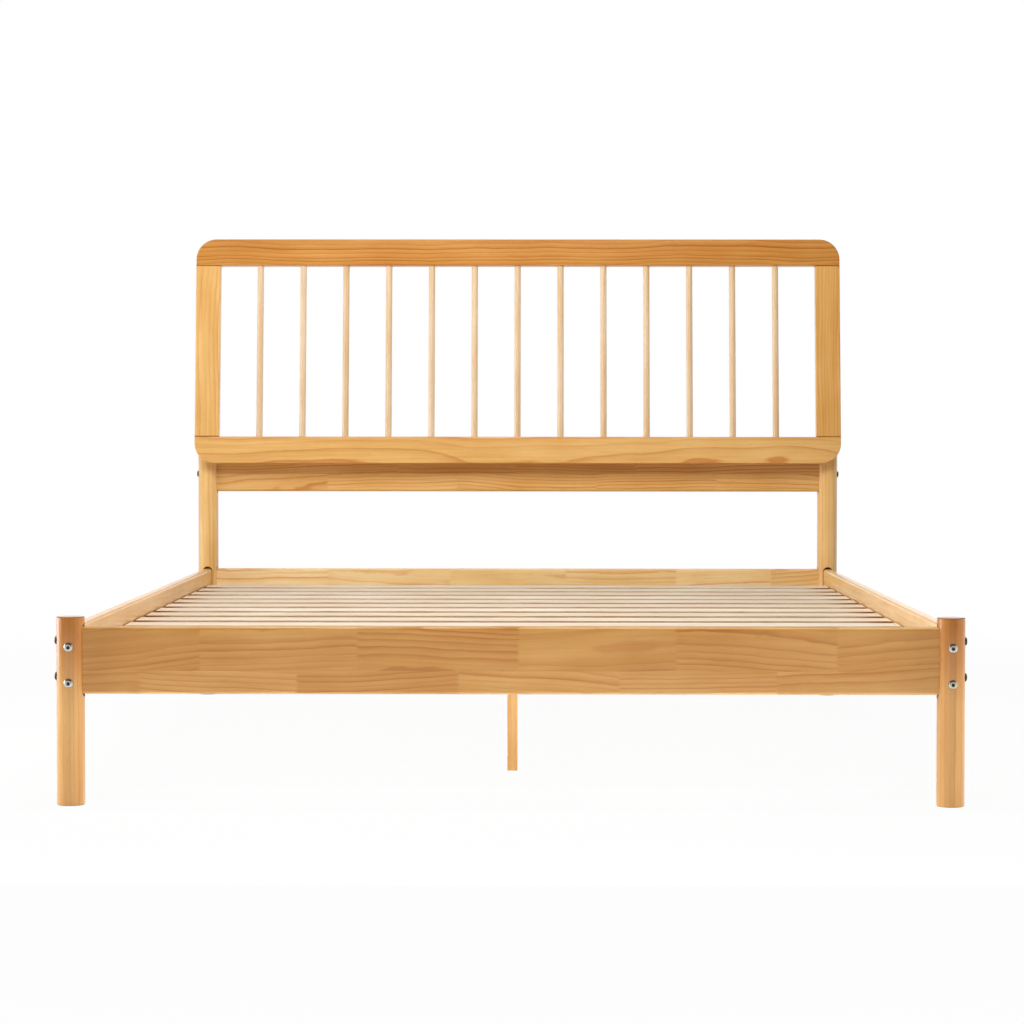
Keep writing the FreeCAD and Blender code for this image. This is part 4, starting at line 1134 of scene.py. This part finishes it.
class BED_OT_stiles(bpy.types.Operator):
    """Uprights at the headboard's ends, with bevelled ends at the joints"""

    bl_idname = "bed.stiles"
    bl_label = "Stiles"

    def execute(self, context):
        shape = context.scene.bed_shape
        panel = Panel(shape)
        length = panel.height - 2 * shape.panel_rail
        for side, tone in (("left", 1.04), ("right", 0.95)):
            sign = SIDES[side]
            node = f"headboard_stile_{side}"
            width = extent(node).x
            x = sign * (panel.width - width) / 2
            place = (panel.matrix @ Matrix.Translation(
                (x, shape.panel_thickness / 2, panel.height / 2)) @ UPRIGHT)
            body = board(length, shape.panel_thickness, width, shape.panel_round,
                         shape.joint_groove)
            material = pine(
                f"pine stile {side}", place.translation, place, seed=0.52 + 0.3 * sign,
                pith=(0, 0.05, 0.03 * sign), ring=0.007, figure=0.02, contrast=0.55,
                tone=tone, length=length, joint_line=True)
            add_piece(node, "planed", skin(node, [placed(body, place)]),
                      material)
        return {"FINISHED"}


class BED_OT_spindles(bpy.types.Operator):
    """Round spindles, let into both rails of the headboard"""

    bl_idname = "bed.spindles"
    bl_label = "Spindles"

    def execute(self, context):
        shape = context.scene.bed_shape
        turn = Panel(shape).turn
        for number, node in enumerate(SPINDLES):
            size, centre = extent(node), middle(node)
            radius = size.x / 2
            end_radius = radius - shape.spindle_bevel
            # the box of a leaning bar is taller than the bar, less what its ends add
            tall = size.z - 2 * end_radius * math.sin(shape.lean)
            half = tall / math.cos(shape.lean) / 2
            profile = [(end_radius, -half), (radius, -half + shape.spindle_bevel),
                       (radius, half - shape.spindle_bevel), (end_radius, half)]
            place = Matrix.Translation(centre) @ turn
            # the spindle colours are paler than the frame's: painted light
            material = pine(
                f"pine spindle {number + 1:02d}", centre, place @ UPRIGHT, "spindle",
                seed=(0.11 + 0.618 * number) % 1, pith=(0, 0.03, 0.02), ring=0.005,
                figure=0.01, contrast=0.6)
            add_piece(node, "turned", skin(node, [placed(turned(profile, 48), place)]),
                      material)
        return {"FINISHED"}


# ---- slats, ledgers, beam and leg -------------------------------------------------------

def add_batten(shape, node, turn, own, edge_round, work, material):
    """Plain board with rounded long edges.  own is its size in its own frame."""
    body = board(*own, edge_round, shape.end_ease)
    place = Matrix.Translation(middle(node)) @ turn
    add_piece(node, work, skin(node, [placed(body, place)]), material)


class BED_OT_slats(bpy.types.Operator):
    """Raw pine slats with countersunk screw holes over the ledgers"""

    bl_idname = "bed.slats"
    bl_label = "Slats"

    def execute(self, context):
        shape = context.scene.bed_shape
        hole, head = shape.screw_hole / 2, shape.screw_head / 2
        ledger_x = middle("slat_ledger_right").x
        for number, node in enumerate(SLATS):
            size, centre = extent(node), middle(node)
            body = board(*size, shape.slat_round, shape.end_ease)
            top = size.z / 2
            drill = turned([(hole, -top - CLEARANCE), (hole, top - (head - hole)),
                            (head, top), (head, top + CLEARANCE)], 40)
            cutters = [placed(drill, Matrix.Translation((x, 0, 0)))
                       for x in (-ledger_x, ledger_x)]
            mesh = cut_away(skin(node, [body]), cutters)
            mesh.transform(Matrix.Translation(centre))
            # a little paler towards the head, and no two neighbours alike
            tone = 0.925 + 0.006 * number + 0.04 * math.sin(2.3 * number)
            material = pine(
                f"raw pine slat {number + 1:02d}", centre, ACROSS, "raw",
                seed=(0.07 + 0.381 * number) % 1, pith=(0, 0.02, -0.06), ring=0.006,
                figure=0.03, tone=tone, contrast=0.8, length=size.x)
            add_piece(node, "sawn", mesh, material)
        return {"FINISHED"}


class BED_OT_ledgers(bpy.types.Operator):
    """Battens on the side rails that the slats lie on"""

    bl_idname = "bed.ledgers"
    bl_label = "Ledgers"

    def execute(self, context):
        shape = context.scene.bed_shape
        for side, seed in (("left", 0.35), ("right", 0.66)):
            node = f"slat_ledger_{side}"
            material = pine(f"raw pine ledger {side}", middle(node), ALONG, "raw", seed=seed,
                            contrast=0.8)
            add_batten(shape, node, ALONG, extent(node).yxz, shape.ledger_round, "sawn",
                       material)
        return {"FINISHED"}


class BED_OT_centre_beam(bpy.types.Operator):
    """Beam under the middle of the slats"""

    bl_idname = "bed.centre_beam"
    bl_label = "Centre beam"

    def execute(self, context):
        shape = context.scene.bed_shape
        node = "centre_beam"
        material = pine("raw pine beam", middle(node), ALONG, "raw", seed=0.52, contrast=0.9)
        add_batten(shape, node, ALONG, extent(node).yxz, shape.beam_round, "sawn",
                   material)
        return {"FINISHED"}


class BED_OT_centre_leg(bpy.types.Operator):
    """Leg under the centre beam"""

    bl_idname = "bed.centre_leg"
    bl_label = "Centre leg"

    def execute(self, context):
        shape = context.scene.bed_shape
        node = "centre_leg"
        material = pine("pine centre leg", middle(node), UPRIGHT, seed=0.24,
                        pith=(0, 0.04, 0.02), ring=0.007, tone=1.04, contrast=0.5)
        add_batten(shape, node, UPRIGHT, extent(node).zyx, shape.leg_round, "planed",
                   material)
        return {"FINISHED"}


# ---- fasteners --------------------------------------------------------------------------

def bolt(shape, length):
    """Flanged bolt about Z with its seat at the origin and its head up.

    Rows of (radius, height) from the shank's tip round the flange, up the bevel, across the
    face with a shallow ring turned in it, and down the hexagon socket.
    """
    head, top = shape.bolt_head / 2, shape.bolt_height
    shank, bevel = shape.bolt_shank / 2, shape.bolt_bevel
    corner = shape.bolt_socket / math.sqrt(3)
    face = head - bevel
    soft = 0.0002
    ring = 0.75 * face
    outside = [
        (shank - 3 * soft, -length), (shank, -length + 3 * soft), (shank, 0),
        (head - soft, 0), (head, soft), (head, top - bevel - soft),
        (head - soft, top - bevel + soft), (face + soft, top - soft), (face - soft, top),
        (ring + 2 * soft, top), (ring + soft, top - soft), (ring - soft, top - soft),
        (ring - 2 * soft, top), (corner + 2 * soft, top),
    ]
    socket = [(corner, top - 2 * soft), (corner, top - shape.socket_depth),
              (corner / 2, top - shape.socket_depth - 2 * soft)]
    return turned(outside + socket, 48, [0] * len(outside) + [1] * len(socket))


def pointing(place, way):
    """Matrix that puts a bolt's seat at a place with its head towards a way."""
    turn = Vector(way).to_track_quat("Z", "Y").to_matrix().to_4x4()
    return Matrix.Translation(place) @ turn


def add_rail_bolts(shape, node, axes, bright, dull):
    """Bolts of the rails that one node holds, each given by its seat and its direction.

    Their sockets get painted shade, and so do whole heads on the bed's left and right.  A
    face is in a socket when it is nearer to a bolt's axis than the socket's corners, above
    the seat.
    """
    one = bolt(shape, shape.rail_bolt)
    mesh = skin(node, [placed(one, pointing(*axis)) for axis in axes])
    add_piece(node, "plated", mesh, bright)
    socket = 1.02 * shape.bolt_socket / math.sqrt(3)
    middles = face_rows(mesh, "center")
    chosen = np.zeros(len(middles), bool)
    for place, way in axes:
        from_seat, way = middles - np.array(place), np.array(way, float)
        rise = from_seat @ way
        off = np.linalg.norm(from_seat - rise[:, None] * way, axis=1)
        near = (off < shape.bolt_head) & (rise > -shape.bolt_height)
        sideways = abs(way[0]) > 0.5
        chosen |= near & (sideways | (rise > 0) & (off < socket))
    paint_faces(mesh, chosen, dull)


def add_panel_bolts(shape, material):
    """Bolts square to the headboard, through the head posts from behind.

    A bolt's seat is as far behind the headboard as the upright post's back is at that
    height, less the recess and half the head times the lean's tangent.
    """
    tip_gap = 0.0005
    panel = Panel(shape)
    post = extent("head_post_left").x
    sine, cosine = math.sin(shape.lean), math.cos(shape.lean)
    shells = []
    for v in (shape.panel_bolt_first, shape.panel_bolt_first + shape.panel_bolt_pitch):
        seat = ((post - v * sine) / cosine - shape.bolt_recess
                - shape.bolt_head / 2 * sine / cosine)
        one = bolt(shape, seat + shape.insert_length - tip_gap)
        for side in SIDES:
            x = middle(f"head_post_{side}").x
            place = panel.matrix @ Vector((x, shape.panel_thickness + seat, v))
            shells.append(placed(one, pointing(place, panel.turn @ Vector((0, 1, 0)))))
    node = "panel_bolts"
    add_piece(node, "plated", skin(node, shells), material)


class BED_OT_bolts(bpy.types.Operator):
    """Flanged socket bolts through the posts"""

    bl_idname = "bed.bolts"
    bl_label = "Bolts"

    def execute(self, context):
        shape = context.scene.bed_shape
        # the second finish is painted shade, for the sockets and the side bolts' heads
        bright, dull = zinc(), zinc_in_painted_shade()
        for end, sign_y in ENDS.items():
            node = f"{end}_post_bolts"
            low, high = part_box(node)
            side_pair, cross_pair = pair_heights(shape, node)
            y_face = (low if sign_y < 0 else high).y - sign_y * shape.bolt_height
            axes = []
            for side, sign_x in SIDES.items():
                post = middle(f"{end}_post_{side}")
                x_face = sign_x * (high.x - shape.bolt_height)
                axes += [((x_face, post.y, z), (sign_x, 0, 0)) for z in cross_pair]
                axes += [((post.x, y_face, z), (0, sign_y, 0)) for z in side_pair]
            add_rail_bolts(shape, node, axes, bright, dull)
        node = "apron_bolts"
        centre = middle(node)
        x_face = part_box(node)[1].x - shape.bolt_height
        axes = [((s * x_face, centre.y, centre.z), (s, 0, 0)) for s in SIDES.values()]
        add_rail_bolts(shape, node, axes, bright, dull)
        add_panel_bolts(shape, bright)
        return {"FINISHED"}


class BED_OT_small_hardware(bpy.types.Operator):
    """Finishes for the nuts, inserts, screws, brackets and dowels that the CAD has"""

    bl_idname = "bed.small_hardware"
    bl_label = "Small hardware"

    def execute(self, context):
        for names, material in ((PLATED, bpy.data.materials["zinc plate"]),
                                (DOWELS, beech())):
            for name in names:
                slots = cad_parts[name].data.materials
                slots.clear()
                slots.append(material)
        return {"FINISHED"}


# ---- the sidebar, and the order of work -------------------------------------------------

STEPS = (BED_OT_stage, BED_OT_posts, BED_OT_cross_rails, BED_OT_side_rails, BED_OT_apron,
         BED_OT_headboard_rails, BED_OT_stiles, BED_OT_spindles, BED_OT_slats,
         BED_OT_ledgers, BED_OT_centre_beam, BED_OT_centre_leg, BED_OT_bolts,
         BED_OT_small_hardware)


class BED_PT_sidebar(bpy.types.Panel):
    """Lists the bed's sizes, finishes and pieces"""

    bl_idname = "BED_PT_sidebar"
    bl_label = "Spindle bed"
    bl_space_type = "VIEW_3D"
    bl_region_type = "UI"
    bl_category = "Bed"

    def draw(self, context):
        for step in STEPS:
            self.layout.operator(step.bl_idname)
        for group in (context.scene.bed_shape, context.scene.bed_finish,
                      context.scene.studio_light):
            box = self.layout.box()
            for name in group.__annotations__:
                box.prop(group, name)


CLASSES = (BedShape, BedFinish, StudioLight, *STEPS, BED_PT_sidebar)


def register():
    for item in CLASSES:
        bpy.utils.register_class(item)
    bpy.types.Scene.bed_shape = bpy.props.PointerProperty(type=BedShape)
    bpy.types.Scene.bed_finish = bpy.props.PointerProperty(type=BedFinish)
    bpy.types.Scene.studio_light = bpy.props.PointerProperty(type=StudioLight)


def unregister():
    del bpy.types.Scene.bed_shape
    del bpy.types.Scene.bed_finish
    del bpy.types.Scene.studio_light
    for item in reversed(CLASSES):
        bpy.utils.unregister_class(item)


def main():
    register()
    make_growth_rings()
    for step in STEPS:
        family, name = step.bl_idname.split(".")
        getattr(getattr(bpy.ops, family), name)()


if __name__ == "__main__":
    main()
